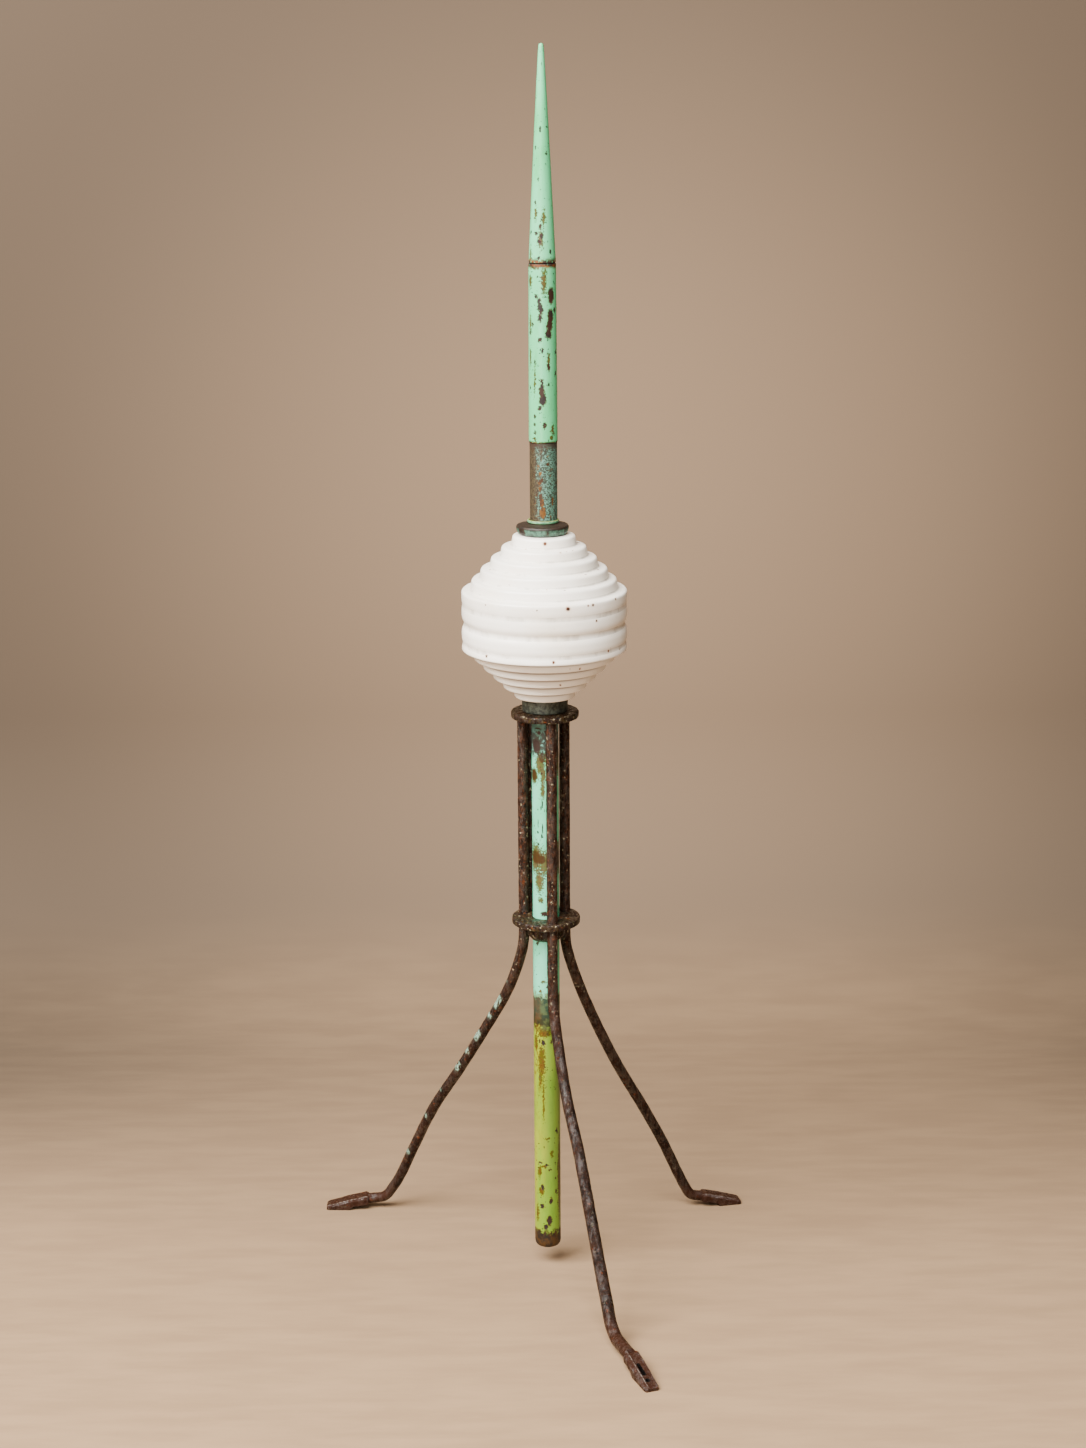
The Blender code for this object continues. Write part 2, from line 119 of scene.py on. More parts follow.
LEGS = {
    "left_leg": dict(
        seat=-117.4, sweep=-130.0, foot=-90.0, run=0.1534, start=0.2620, tail=0.0,
        out=(0.014, 0.104, 0.253, 0.416, 0.593, 0.731, 0.833, 0.881, 0.907, 0.938),
        heel_radius=0.0038, foot_length=0.0330, foot_half_width=0.0065),
    "right_leg": dict(
        seat=130.5, sweep=133.0, foot=100.0, run=0.1372, start=0.2620, tail=0.0,
        out=(0.014, 0.110, 0.244, 0.400, 0.583, 0.752, 0.862, 0.905, 0.928, 0.954),
        heel_radius=0.0039, foot_length=0.0310, foot_half_width=0.0062),
    "front_leg": dict(
        seat=13.9, sweep=19.5, foot=20.3, run=0.1287, start=0.2250, tail=0.0225,
        out=(0.014, 0.102, 0.226, 0.417, 0.573, 0.724, 0.850, 0.892, 0.930, 0.966),
        heel_radius=0.0045, foot_length=0.0400, foot_half_width=0.0058),
}
FOOT_HEIGHT = 0.0110
FOOT_SECTIONS = (
    (0.02, 0.86, 0.38, 0.95), (0.08, 0.98, 0.36, 1.0), (0.37, 1.0, 0.24, 0.80),
    (0.46, 1.0, 0.0, 0.74), (0.95, 0.92, 0.0, 0.34), (1.0, 0.80, 0.0, 0.25),
)
FOOT_SOLE_CHAMFER, FOOT_RIDGE_DROP, FOOT_EDGE_LIMIT = 0.0006, 0.0016, 0.6
# Tops of the feet from their right edge to their left:
# share of the half width, drop as a share of the ridge's, wear and painted highlight
PLAIN_TOP = (
    (1.0, 1.0, 0.0), (0.89, 0.5, 0.0), (0.78, 0.0, 0.9), (0.67, 0.1, 0.0), (-0.67, 0.1, 0.0),
    (-0.78, 0.0, 0.6), (-1.0, 1.0, 0.0),
)
CHANNEL_TOP = (
    (1.0, 1.0, 0.0), (0.89, 0.15, 0.7), (0.78, 0.10, 0.3), (0.67, 0.50, 0.0), (-0.33, 0.50, 0.0),
    (-0.44, 0.0, 1.0), (-0.56, 0.2, 0.2), (-1.0, 1.5, 0.0),
)
TOE_HOLE_SETBACK, TOE_HOLE_RADIUS = 0.0082, 0.0015
SLOT_SETBACK, SLOT_LENGTH, SLOT_RADIUS = 0.0198, 0.0125, 0.0013

# Fineness of the pieces made here
TURNED_SIDES = 144
ROD_SIDES = 64
CORNER_STEPS = 4
EDGE_STEP = 0.0012
BAR_QUARTER = 10
SWEEP_STEPS = 10
SMOOTH_ANGLE = radians(40)

# Unevenness of the surfaces: how far they swell, and over what distance
ROD_UNEVENNESS = (0.00006, 0.012)
RING_UNEVENNESS = (0.00008, 0.003)
CAP_UNEVENNESS = (0.00012, 0.005)
GLAZE_UNEVENNESS = (0.00010, 0.014)
COLLAR_UNEVENNESS = (0.00010, 0.005)
PLATE_UNEVENNESS = (0.00018, 0.004)
BAR_UNEVENNESS = (0.00016, 0.007)


# Geometry

def heading(azimuth):
    """Level direction of an azimuth in degrees."""
    return Vector((sin(radians(azimuth)), -cos(radians(azimuth)), 0.0))


def skin(bm, first, second):
    """Faces between two rings, either of which may be a single point."""
    count = max(len(first), len(second))
    for i in range(count):
        j = (i + 1) % count
        around = ((first, i), (first, j), (second, j), (second, i))
        corners = [ring[k % len(ring)] for ring, k in around]
        bm.faces.new(list(dict.fromkeys(corners)))


def dress(obj, material, node):
    """The piece stands for its CAD node, which it hides, rides on the body and takes the finish it is given.
    """
    obj.data.materials.append(material)
    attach(obj, body)
    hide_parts(node)
    return obj


def as_object(name, bm, place):
    """An object from a bmesh, placed before it rides."""
    bmesh.ops.recalc_face_normals(bm, faces=bm.faces)
    mesh = bpy.data.meshes.new(name)
    bm.to_mesh(mesh)
    bm.free()
    obj = bpy.data.objects.new(name, mesh)
    obj.location = place
    bpy.context.collection.objects.link(obj)
    return obj


def smooth(obj):
    obj.data.shade_smooth()
    obj.data.set_sharp_from_angle(angle=SMOOTH_ANGLE)


def weather(obj, amount, spacing, floor=None):
    """Uneven surface: every point moves along its normal by smooth noise of that amount and spacing."""
    normals = [vertex.normal.copy() for vertex in obj.data.vertices]
    for vertex, normal in zip(obj.data.vertices, normals):
        swell = noise.noise(vertex.co / spacing) + 0.5 * noise.noise(vertex.co / (0.4 * spacing))
        vertex.co += normal * swell * amount
        if floor is not None:
            vertex.co.z = max(vertex.co.z, floor)


def rounded(corners):
    """Rounds the corners of (radius, height, rounding) points; gives (radius, height, hollow) points.

    Hollow is 1 at an inside corner and fades to 0 at the next outside corner; the glaze darkens by it, as
    soiling and painted shade.
    """
    points = []
    for index, (radius, height, rounding) in enumerate(corners):
        here = Vector((radius, height))
        if rounding == 0.0 or index in (0, len(corners) - 1):
            points.append((here, 0.0))
            continue
        before = Vector(corners[index - 1][:2]) - here
        after = Vector(corners[index + 1][:2]) - here
        reach = min(rounding, 0.48 * before.length, 0.48 * after.length)
        hollow = 1.0 if before.x * after.y - before.y * after.x < 0.0 else 0.0
        start, end = here + before.normalized() * reach, here + after.normalized() * reach
        for step in range(CORNER_STEPS + 1):
            t = step / CORNER_STEPS
            points.append((start * (1 - t) ** 2 + here * 2 * t * (1 - t) + end * t ** 2, hollow))
    return divided(points)


def divided(points):
    """Adds points along the straight runs, so that the surface can be weathered."""
    fine = []
    for (here, hollow), (there, next_hollow) in zip(points, points[1:]):
        steps = max(1, int((there - here).length / EDGE_STEP))
        for step in range(steps):
            at = here.lerp(there, step / steps)
            fine.append((at.x, at.y, hollow + (next_hollow - hollow) * step / steps))
    last, hollow = points[-1]
    fine.append((last.x, last.y, hollow))
    return fine


def turned(node, outline, sides, place=AXIS):
    """Revolve (radius, height, hollow) points; an outline that starts off the axis closes into a ring."""
    bm = bmesh.new()
    # The hollow layer tells the glaze where to paint corner soiling and painted shade
    corner_dirt_and_shade = bm.verts.layers.float.new("hollow")
    rings = []
    for radius, height, hollow in outline:
        angles = [2 * pi * k / sides for k in range(1 if radius == 0.0 else sides)]
        ring = [bm.verts.new((radius * cos(angle), radius * sin(angle), height)) for angle in angles]
        for vertex in ring:
            vertex[corner_dirt_and_shade] = hollow
        rings.append(ring)
    if outline[0][0] > 0.0:
        rings.append(rings[0])
    for first, second in zip(rings, rings[1:]):
        skin(bm, first, second)
    return as_object(node + "_look", bm, place)


def spear_outline():
    """Taper that fills out below a blunt tip, with a small rounding at the seam."""
    steps, seam = 48, 0.0005
    length = SPEAR_TOP - SPEAR_BOTTOM - SPEAR_TIP_RADIUS
    corners = [(0.0, SPEAR_BOTTOM, 0.0), (SPEAR_BASE_RADIUS - seam, SPEAR_BOTTOM, 0.0)]
    for k in range(steps):
        down = 1.0 - k / (steps - 1)
        radius = SPEAR_TIP_RADIUS + (SPEAR_BASE_RADIUS - SPEAR_TIP_RADIUS) * down ** SPEAR_FULLNESS
        corners.append((radius, SPEAR_BOTTOM + max(seam, length * (1.0 - down)), 0.0))
    for angle in (30, 55, 75):
        across, below = cos(radians(angle)), 1 - sin(radians(angle))
        corners.append((SPEAR_TIP_RADIUS * across, SPEAR_TOP - SPEAR_TIP_RADIUS * below, 0.0))
    return rounded(corners + [(0.0, SPEAR_TOP, 0.0)])


def tube_outline():
    seam = 0.0007
    return rounded([
        (0.0, TUBE_BOTTOM, 0.0), (TUBE_BOTTOM_RADIUS, TUBE_BOTTOM, seam),
        (TUBE_TOP_RADIUS, TUBE_TOP, seam), (0.0, TUBE_TOP, 0.0),
    ])


def mast_outline():
    return rounded([
        (0.0, MAST_END, 0.0), (MAST_RADIUS, MAST_END, MAST_END_ROUNDING),
        (MAST_RADIUS, MAST_TOP, 0.0), (0.0, MAST_TOP, 0.0),
    ])


def ball_outline():
    """Stepped and grooved outside from the top pole down, then a plain inside wall."""
    bore, fillet = MAST_RADIUS + 0.0008, 0.0006
    corners = [(bore, BALL_TOP, 0.0)]
    for k, radius in enumerate(UPPER_TIER_RADII):
        edge = BALL_TOP - UPPER_TIER_HEIGHT * k
        foot = edge - UPPER_TIER_HEIGHT
        corners += [(radius, edge - LEDGE_FALL, TIER_ROUNDING), (radius + TIER_FLARE, foot, fillet)]
    belt_top = BALL_TOP - UPPER_TIER_HEIGHT * len(UPPER_TIER_RADII)
    belt_bottom = BALL_BOTTOM + LOWER_TIER_HEIGHT * len(LOWER_TIER_RADII)
    corners.append((BALL_RADIUS, belt_top - LEDGE_FALL, TIER_ROUNDING))
    for drop, depth, half_width in BELT_GROOVES:
        groove = belt_top - drop
        corners += [
            (BALL_RADIUS, groove + half_width, half_width), (BALL_RADIUS - depth, groove, half_width),
            (BALL_RADIUS, groove - half_width, half_width),
        ]
    corners.append((BALL_RADIUS, belt_bottom, 1.4 * TIER_ROUNDING))
    for k, radius in reversed(list(enumerate(LOWER_TIER_RADII))):
        edge = BALL_BOTTOM + LOWER_TIER_HEIGHT * k
        head = edge + LOWER_TIER_HEIGHT
        corners += [(radius + TIER_FLARE, head, fillet), (radius, edge, 0.8 * TIER_ROUNDING)]
    inside = BALL_RADIUS - 2 * BALL_WALL
    corners += [
        (bore, BALL_BOTTOM, 0.0), (bore, BALL_BOTTOM + BALL_WALL, 0.0),
        (inside, belt_bottom + BALL_WALL, 0.0),
        (inside, belt_top - BALL_WALL, 0.0), (bore, BALL_TOP - BALL_WALL, 0.0), (bore, BALL_TOP, 0.0),
    ]
    return rounded(corners)[:-1]


def washer(bore, radius, low, high, rounding):
    return rounded([(bore, low, 0.0), (radius, low, rounding), (radius, high, rounding), (bore, high, 0.0)])


def cap_outline(bore):
    return rounded([
        (bore, CAP_BOTTOM, 0.0), (CAP_FOOT_RADIUS, CAP_BOTTOM, 0.0005),
        (CAP_RADIUS, CAP_BOTTOM + CAP_HEIGHT / 2, 0.002), (CAP_RADIUS, CAP_BOTTOM + CAP_HEIGHT, 0.0017),
        (RING_RADIUS, CAP_TOP, 0.001), (bore, CAP_TOP, 0.0),
    ])


def lower_plate_outline(bore):
    under = LOWER_PLATE_TOP - LOWER_PLATE_THICKNESS
    return rounded([
        (bore, HUB_BOTTOM, 0.0), (HUB_END_RADIUS, HUB_BOTTOM, 0.0006),
        (HUB_RADIUS, HUB_BOTTOM + HUB_CONE_HEIGHT, 0.0008), (HUB_RADIUS, under, 0.001),
        (LOWER_PLATE_RADIUS, under, 0.0009),
        (LOWER_PLATE_RADIUS, LOWER_PLATE_TOP, 0.0011), (bore, LOWER_PLATE_TOP, 0.0),
    ])


def smooth_through(points, steps):
    """Catmull-Rom curve through (share out, share up) points."""
    padded = [points[0], *points, points[-1]]
    curve = []
    for k in range(1, len(padded) - 2):
        p0, p1, p2, p3 = (Vector(padded[k + n]) for n in (-1, 0, 1, 2))
        for step in range(steps):
            t = step / steps
            curve.append(0.5 * (2 * p1 + (p2 - p0) * t + (2 * p0 - 5 * p1 + 4 * p2 - p3) * t ** 2
                                + (3 * p1 - p0 - 3 * p2 + p3) * t ** 3))
    curve.append(Vector(points[-1]))
    return curve


def leg_path(leg):
    """Centre points from under the upper plate to the heel, each with its plan azimuth and bar radius."""
    seat = heading(leg["seat"]) * BAR_CIRCLE_RADIUS
    drop = leg["start"] - HEEL_HEIGHT
    top, straight = UPPER_PLATE_BOTTOM - GAP, 60
    path = []
    for step in range(straight):
        height = top + (leg["start"] - top) * step / straight
        path.append((seat + Vector((0.0, 0.0, height)), leg["sweep"], BAR_RADIUS))
    bends = [(0.0, 1.0), *zip(leg["out"], SWEEP_UP), (1.0, 0.0)]
    plan, reached = seat.copy(), 0.0
    for out, up in smooth_through(bends, SWEEP_STEPS):
        run = out * leg["run"]
        turn = max(0.0, run - leg["run"] + FOOT_TURN_RUN) / FOOT_TURN_RUN
        azimuth = leg["sweep"] + (leg["foot"] - leg["sweep"]) * turn
        plan += heading(azimuth) * (run - reached)
        reached = run
        radius = BAR_RADIUS + (leg["heel_radius"] - BAR_RADIUS) * out
        path.append((plan + Vector((0.0, 0.0, HEEL_HEIGHT + up * drop)), azimuth, radius))
    tail_steps = int(leg["tail"] / EDGE_STEP)
    for step in range(1, tail_steps + 1):
        ahead = heading(leg["foot"]) * leg["tail"] * step / tail_steps
        path.append((plan + ahead + Vector((0.0, 0.0, HEEL_HEIGHT)), leg["foot"], leg["heel_radius"]))
    return path


def bar_ring(bm, path, index):
    centre, azimuth, radius = path[index]
    tangent = (path[min(index + 1, len(path) - 1)][0] - path[max(index - 1, 0)][0]).normalized()
    across = heading(azimuth + 90.0)
    upward = tangent.cross(across).normalized()
    across = upward.cross(tangent)
    angles = [pi / 2 * k / BAR_QUARTER for k in range(4 * BAR_QUARTER)]
    return [bm.verts.new(centre + (across * cos(a) + upward * sin(a)) * radius) for a in angles]


def between(table, share):
    """Values read from a table whose first column falls, at a share between its first and last row."""
    for (first, *values), (last, *others) in zip(table, table[1:]):
        if share >= last:
            t = (first - share) / (first - last)
            return [a + (b - a) * t for a, b in zip(values, others)]
    return table[-1][1:]


def foot_section(half_width, half_height, top):
    """Points (across, height, worn) in step with the bar's: over the top from the right, back under; worn
    marks ridges painted light grey as rubbed metal and painted highlight.
    """
    ridge = min(FOOT_RIDGE_DROP, half_height * FOOT_EDGE_LIMIT)
    sole = min(FOOT_SOLE_CHAMFER, half_height * FOOT_EDGE_LIMIT)
    upper, lower = [], []
    spaces = 2 * BAR_QUARTER - 2
    for k in range(spaces + 1):
        share = 1.0 - 2.0 * k / spaces
        drop, worn = between(top, share)
        upper.append((share * half_width, half_height - drop * ridge, worn))
        lower.append((-share * half_width, -half_height + (sole if abs(share) == 1.0 else 0.0), 0.0))
    return [(half_width, 0.0, 0.0), *upper, (-half_width, 0.0, 0.0), *lower]


def foot_rings(bm, leg, heel, worn):
    """Flattened sections along the foot, closely spaced."""
    top = CHANNEL_TOP if leg["tail"] > 0.0 else PLAIN_TOP
    rings = []
    across, ahead = heading(leg["foot"] + 90.0), heading(leg["foot"])
    ends = list(zip(FOOT_SECTIONS, FOOT_SECTIONS[1:]))
    for first, second in ends:
        steps = max(1, int((second[0] - first[0]) * leg["foot_length"] / EDGE_STEP))
        for step in range(steps):
            t = step / steps
            rings.append([a + (b - a) * t for a, b in zip(first, second)])
    rings.append(FOOT_SECTIONS[-1])
    made = []
    for share, width_share, low_share, high_share in rings:
        low, high = low_share * FOOT_HEIGHT, high_share * FOOT_HEIGHT
        centre = Vector((heel.x, heel.y, (low + high) / 2)) + ahead * share * leg["foot_length"]
        ring = []
        for x, z, wear_and_highlight in foot_section(leg["foot_half_width"] * width_share, (high - low) / 2, top):
            vertex = bm.verts.new(centre + across * x + Vector((0.0, 0.0, z)))
            vertex[worn] = wear_and_highlight
            ring.append(vertex)
        made.append(ring)
    return made


def slot_cutter(name, centre, radius, stretch, azimuth):
    """Upright cutter, round or stretched into a slot."""
    bm = bmesh.new()
    along = heading(azimuth)
    across = Vector((-along.y, along.x, 0.0))
    rings, sides, height = [], 24, 0.05
    for z in (-height, height):
        ring = []
        for k in range(sides):
            angle = 2 * pi * (k + 0.5) / sides
            end = stretch / 2 if cos(angle) > 0 else -stretch / 2
            edge = along * (radius * cos(angle) + end) + across * radius * sin(angle)
            ring.append(bm.verts.new(edge + Vector((0, 0, z))))
        rings.append(ring)
        bm.faces.new(ring)
    skin(bm, rings[0], rings[1])
    return as_object(name, bm, centre)


def build_leg(name, leg, material):
    bm = bmesh.new()
    # The worn layer marks the feet's ridges, painted light grey as rubbed metal and painted highlight
    worn = bm.verts.layers.float.new("worn")
    path = leg_path(leg)
    rings = [bar_ring(bm, path, index) for index in range(len(path))]
    heel = path[-1][0]
    rings += foot_rings(bm, leg, heel, worn)
    for first, second in zip(rings, rings[1:]):
        skin(bm, first, second)
    bm.faces.new(rings[0])
    bm.faces.new(rings[-1])
    obj = as_object(name + "_look", bm, AXIS)
    weather(obj, *BAR_UNEVENNESS, floor=0.0)
    if leg["tail"] > 0.0:
        ground = AXIS + Vector((heel.x, heel.y, 0.0))
        ahead = heading(leg["foot"])
        hole = ground + ahead * (leg["foot_length"] - TOE_HOLE_SETBACK)
        slot = ground + ahead * (leg["foot_length"] - SLOT_SETBACK)
        tools = [
            slot_cutter("toe_hole", hole, TOE_HOLE_RADIUS, 0.0, 0.0),
            slot_cutter("slot", slot, SLOT_RADIUS, SLOT_LENGTH - 2 * SLOT_RADIUS, leg["foot"]),
        ]
        for tool in tools:
            cut = obj.modifiers.new(tool.name, "BOOLEAN")
            cut.operation, cut.solver, cut.object = "DIFFERENCE", "EXACT", tool
        bpy.context.view_layer.update()
        mesh = bpy.data.meshes.new_from_object(obj.evaluated_get(bpy.context.evaluated_depsgraph_get()))
        obj.modifiers.clear()
        obj.data = mesh
        for tool in tools:
            bpy.data.objects.remove(tool, do_unlink=True)
    smooth(obj)
    return dress(obj, material, name)


# Node helpers

def srgb(red, green, blue):
    """Linear colour from 0-255 display values."""
    channels = (value / 255 for value in (red, green, blue))
    return (*(c / 12.92 if c <= 0.04045 else ((c + 0.055) / 1.055) ** 2.4 for c in channels), 1.0)


def add(tree, kind, feeds, **settings):
    """A node with its settings and its inputs, which are values or other nodes' outputs."""
    node = tree.nodes.new("ShaderNode" + kind)
    for key, value in settings.items():
        setattr(node, key, value)
    for key, value in feeds.items():
        if isinstance(value, bpy.types.NodeSocket):
            tree.links.new(value, node.inputs[key])
        else:
            node.inputs[key].default_value = value
    return node


def calc(tree, operation, *values, clamp=False):
    return add(tree, "Math", dict(enumerate(values)), operation=operation, use_clamp=clamp).outputs[0]


def times(tree, first, second):
    return calc(tree, "MULTIPLY", first, second)


def vector(tree, operation, *values):
    node = add(tree, "VectorMath", dict(enumerate(values)), operation=operation)
    return node.outputs["Value"] if operation == "LENGTH" else node.outputs[0]


def step(tree, value, low, high):
    """0 below low and 1 above high, with a smooth change between; low may be the greater."""
    feeds = {"Value": value, "From Min": low, "From Max": high}
    return add(tree, "MapRange", feeds, interpolation_type="SMOOTHSTEP").outputs[0]


def within(tree, value, rise, fall):
    """1 between two smooth changes, each given as (where it is 0, where it is 1)."""
    return times(tree, step(tree, value, *rise), step(tree, value, *fall))


def blend(tree, factor, first, second, how="MIX"):
    node = add(tree, "Mix", {0: factor, 6: first, 7: second}, data_type="RGBA", blend_type=how)
    return node.outputs[2]


def cells(tree, coords, scale, detail, roughness, stretch, offset):
    """Noise about 0.5, after the coordinates' axes are stretched and moved."""
    moved = vector(tree, "ADD", vector(tree, "MULTIPLY", coords, stretch), offset)
    feeds = {"Vector": moved, "Scale": scale, "Detail": detail, "Roughness": roughness}
    return add(tree, "TexNoise", feeds).outputs["Fac"]


def start_group(name, inputs, outputs):
    """A shader node group; each input's default value and each output's size tell the kind of socket."""
    kinds = {1: "NodeSocketFloat", 3: "NodeSocketVector", 4: "NodeSocketColor"}
    tree = bpy.data.node_groups.new(name, "ShaderNodeTree")
    for label, value in inputs.items():
        kind = kinds[len(value) if isinstance(value, tuple) else 1]
        tree.interface.new_socket(label, in_out="INPUT", socket_type=kind).default_value = value
    for label, size in outputs.items():
        tree.interface.new_socket(label, in_out="OUTPUT", socket_type=kinds[size])
    return tree, tree.nodes.new("NodeGroupInput").outputs, tree.nodes.new("NodeGroupOutput").inputs


def grain_group():
    """Fine or coarse grain of any finish, as a value about 0.5."""
    inputs = {"Vector": (0.0, 0.0, 0.0), "Stretch": (1.0, 1.0, 1.0), "Offset": 0.0,
              "Scale": 100.0, "Detail": 4.0, "Roughness": 0.55}
    tree, given, results = start_group("grain", inputs, {"Value": 1})
    value = cells(tree, given["Vector"], given["Scale"], given["Detail"], given["Roughness"],
                  given["Stretch"], given["Offset"])
    tree.links.new(value, results["Value"])
    return tree


def grain(tree, coords, scale, detail=4.0, roughness=0.55, stretch=(1, 1, 1), offset=0.0):
    """Grain at that many cells a metre; stretch scales the coordinates' axes first."""
    feeds = {"Vector": coords, "Stretch": stretch, "Offset": offset,
             "Scale": scale, "Detail": detail, "Roughness": roughness}
    return add(tree, "Group", feeds, node_tree=GRAIN).outputs["Value"]


def object_coords(tree):
    return add(tree, "TexCoord", {}).outputs["Object"]


def unwrapped(tree, coords):
    """(arc length from the viewer's side, height, 0) on the rod, and the azimuth in radians."""
    parts = add(tree, "SeparateXYZ", {0: coords}).outputs
    azimuth = calc(tree, "ARCTAN2", parts[0], times(tree, parts[1], -1.0))
    arc = times(tree, azimuth, MAST_RADIUS)
    return add(tree, "CombineXYZ", {0: arc, 1: parts[2], 2: 0.0}).outputs[0], azimuth, parts[2]


def warped(tree, coords, scale, amount):
    """Coordinates shaken by noise, so that what is drawn with them gets ragged edges."""
    feeds = {"Vector": coords, "Scale": scale, "Detail": 3.0, "Roughness": 0.6}
    colour = add(tree, "TexNoise", feeds).outputs["Color"]
    shake = vector(tree, "SUBTRACT", colour, (0.5, 0.5, 0.5))
    return vector(tree, "ADD", coords, vector(tree, "MULTIPLY", shake, (amount, amount, amount)))


def nearest(tree, coords, spots):
    """Distance to the nearest spot in units of its own size; a spot is (centre, half size)."""
    best = None
    for centre, size in spots:
        scale = tuple(1.0 / s for s in size)
        shift = tuple(-c / s for c, s in zip(centre, size))
        distance = vector(tree, "LENGTH", vector(tree, "MULTIPLY_ADD", coords, scale, shift))
        best = distance if best is None else calc(tree, "MINIMUM", best, distance)
    return best


def rod_spots(marks):
    """Spots in unwrapped coordinates from (azimuth, height, half width, half height) marks."""
    return [((radians(a) * MAST_RADIUS, z * MM, 0.0), (w * MM, h * MM, 1.0)) for a, z, w, h in marks]


def start_material(name):
    material = bpy.data.materials.new(name)
    material.use_nodes = True
    tree = material.node_tree
    return material, tree, tree.nodes["Principled BSDF"]


def raise_surface(tree, shader, height, distance, strength=1.0):
    feeds = {"Height": height, "Distance": distance, "Strength": strength}
    tree.links.new(add(tree, "Bump", feeds).outputs[0], shader.inputs["Normal"])


def join(tree, shader, **values):
    """Feeds a shader's inputs; underscores in the names stand for spaces."""
    for key, value in values.items():
        socket = shader.inputs[key.replace("_", " ")]
        if isinstance(value, bpy.types.NodeSocket):
            tree.links.new(value, socket)
        else:
            socket.default_value = value


# Colours
MINT = srgb(78, 180, 120)
BLUE_MINT = srgb(88, 188, 144)
CHIP_BROWN = srgb(42, 22, 11)
CHIP_PURPLE = srgb(27, 18, 16)
RUST_ORANGE = srgb(100, 52, 10)
RUST_BROWN = srgb(66, 40, 16)
OCHRE = srgb(84, 51, 2)
OCHRE_BROWN = srgb(48, 24, 3)
OLIVE = srgb(68, 62, 3)
TURQUOISE = srgb(84, 128, 112)
IRON_DARK = srgb(10, 6, 4)
IRON_BROWN = srgb(33, 18, 10)
IRON_RED = srgb(50, 23, 9)
IRON_ORANGE = srgb(98, 43, 8)
IRON_GREY = srgb(55, 45, 39)
IRON_CLAY = srgb(84, 49, 29)

# Heights where a finish, a painted shade or a painted shadow changes, each from where it is absent to where
# it is full
RUSTY_END_STARTS = (0.0300, 0.0266)
YELLOW_GREEN_STARTS = (0.2010, 0.1900)
RUST_BAND = ((0.1835, 0.1895), (0.2115, 0.2100))
RUST_DRIP = ((0.2100, 0.2112), (0.2145, 0.2120))
PURPLE_STRETCH = ((0.3900, 0.3920), (0.4085, 0.4070))
# Just under the upper plate, where the mast carries the plate's painted shadow
PLATE_SHADOW_STRETCH = ((0.4020, 0.4120), (0.4180, 0.4120))
# Lower tiers of the ball, where painted shade fills the recesses
LOWER_TIER_SHADE_STARTS = (0.4690, 0.4660)
NECK_STARTS = (0.5000, 0.5001)
HIGH_ON_STAND = (0.16, 0.27)
LOW_ON_STAND = (0.022, 0.013)

# Marks as seen in the photograph, in millimetres after the azimuth.
# On the rod: azimuth, height, half width, half height
SPEAR_CHIPS = (
    (-11, 821.1, 1, 1.3), (-49, 809.1, 0.7, 1), (32, 805.5, 1, 0.7), (-21, 788.8, 0.7, 1),
    (-38, 773.6, 0.7, 1), (-66, 753.7, 0.7, 1), (-30, 753.4, 1, 1), (-3, 751.5, 1.2, 1.7),
    (-10, 758.1, 0.7, 1.4), (-15, 747.6, 1, 1), (39, 741, 0.7, 1.4), (-15, 737, 0.7, 1),
    (-20, 871, 0.7, 0.7), (3, 862.9, 0.6, 0.7),
)
TUBE_CHIPS = (
    (-28, 711.3, 1, 1.4), (38, 711.8, 1.9, 4.2), (-14, 707.8, 1, 2), (-6, 702.5, 1.2, 2.7),
    (-11, 697.1, 1.1, 2), (35, 698.5, 1.8, 3.4), (31, 692.5, 1.8, 3.4), (26, 686.2, 1.8, 2.6),
    (-46, 692.9, 0.7, 1), (-12, 682.4, 1, 1), (-3, 675.2, 0.7, 1.4), (-35, 667.6, 0.7, 1),
    (24, 664.3, 0.8, 2.2), (61, 659.5, 0.7, 1), (-5, 648, 1.4, 3.4), (-1, 641.9, 1.8, 3.3),
    (-63, 649.4, 0.7, 1), (23, 651.9, 0.7, 1), (-34, 630.1, 0.7, 1), (-37, 624.6, 0.7, 1),
    (-35, 619.9, 0.7, 1), (5, 624.4, 1, 1.4), (-4, 653.8, 0.8, 1.8), (-13, 636, 1.2, 1),
    (-15, 704.5, 0.8, 2), (-60, 687, 0.8, 1.1), (58, 702, 0.8, 1.4), (62, 673.5, 0.8, 1),
)
OCHRE_STAINS = (
    (6, 721.5, 1.8, 8.5), (-60, 721.5, 1.8, 4), (-36, 731, 4, 1.2), (41, 621.1, 1.2, 3),
    (35, 615.7, 1.4, 1), (-35, 615, 1.2, 1.4), (-6, 749, 2, 6), (-62, 739, 1.2, 5), (24, 668, 1, 5),
    (-60, 670, 0.9, 6), (62, 732, 2, 2), (8, 764, 1.4, 5), (-34, 766, 1.2, 4), (-60, 693, 1, 6),
    (-35, 656, 0.7, 9),
)
MAST_CHIPS = (
    (-42, 398.5, 2.6, 4), (3, 408.1, 0.9, 0.9), (-27, 407.9, 1, 1), (-8, 274.6, 2, 1.4),
    (-42, 251.7, 0.7, 1.1), (6, 219.7, 0.7, 1.1), (-15, 176.4, 1.1, 1.5), (-34, 177.5, 0.7, 1.1),
    (19, 177.1, 0.7, 1.1), (46, 107.1, 0.7, 1.5), (-34, 82.6, 1.2, 0.6), (-2, 81, 1.2, 0.6),
    (9, 77.4, 0.9, 0.6), (-24, 63.7, 0.9, 1.7), (15, 52.7, 1, 2), (-24, 48.3, 1.3, 1.6),
    (8, 37, 1.4, 2.8), (-9, 32.3, 1.4, 1.4), (-42, 27.6, 1.2, 1.5), (40, 60, 0.8, 1.2),
)
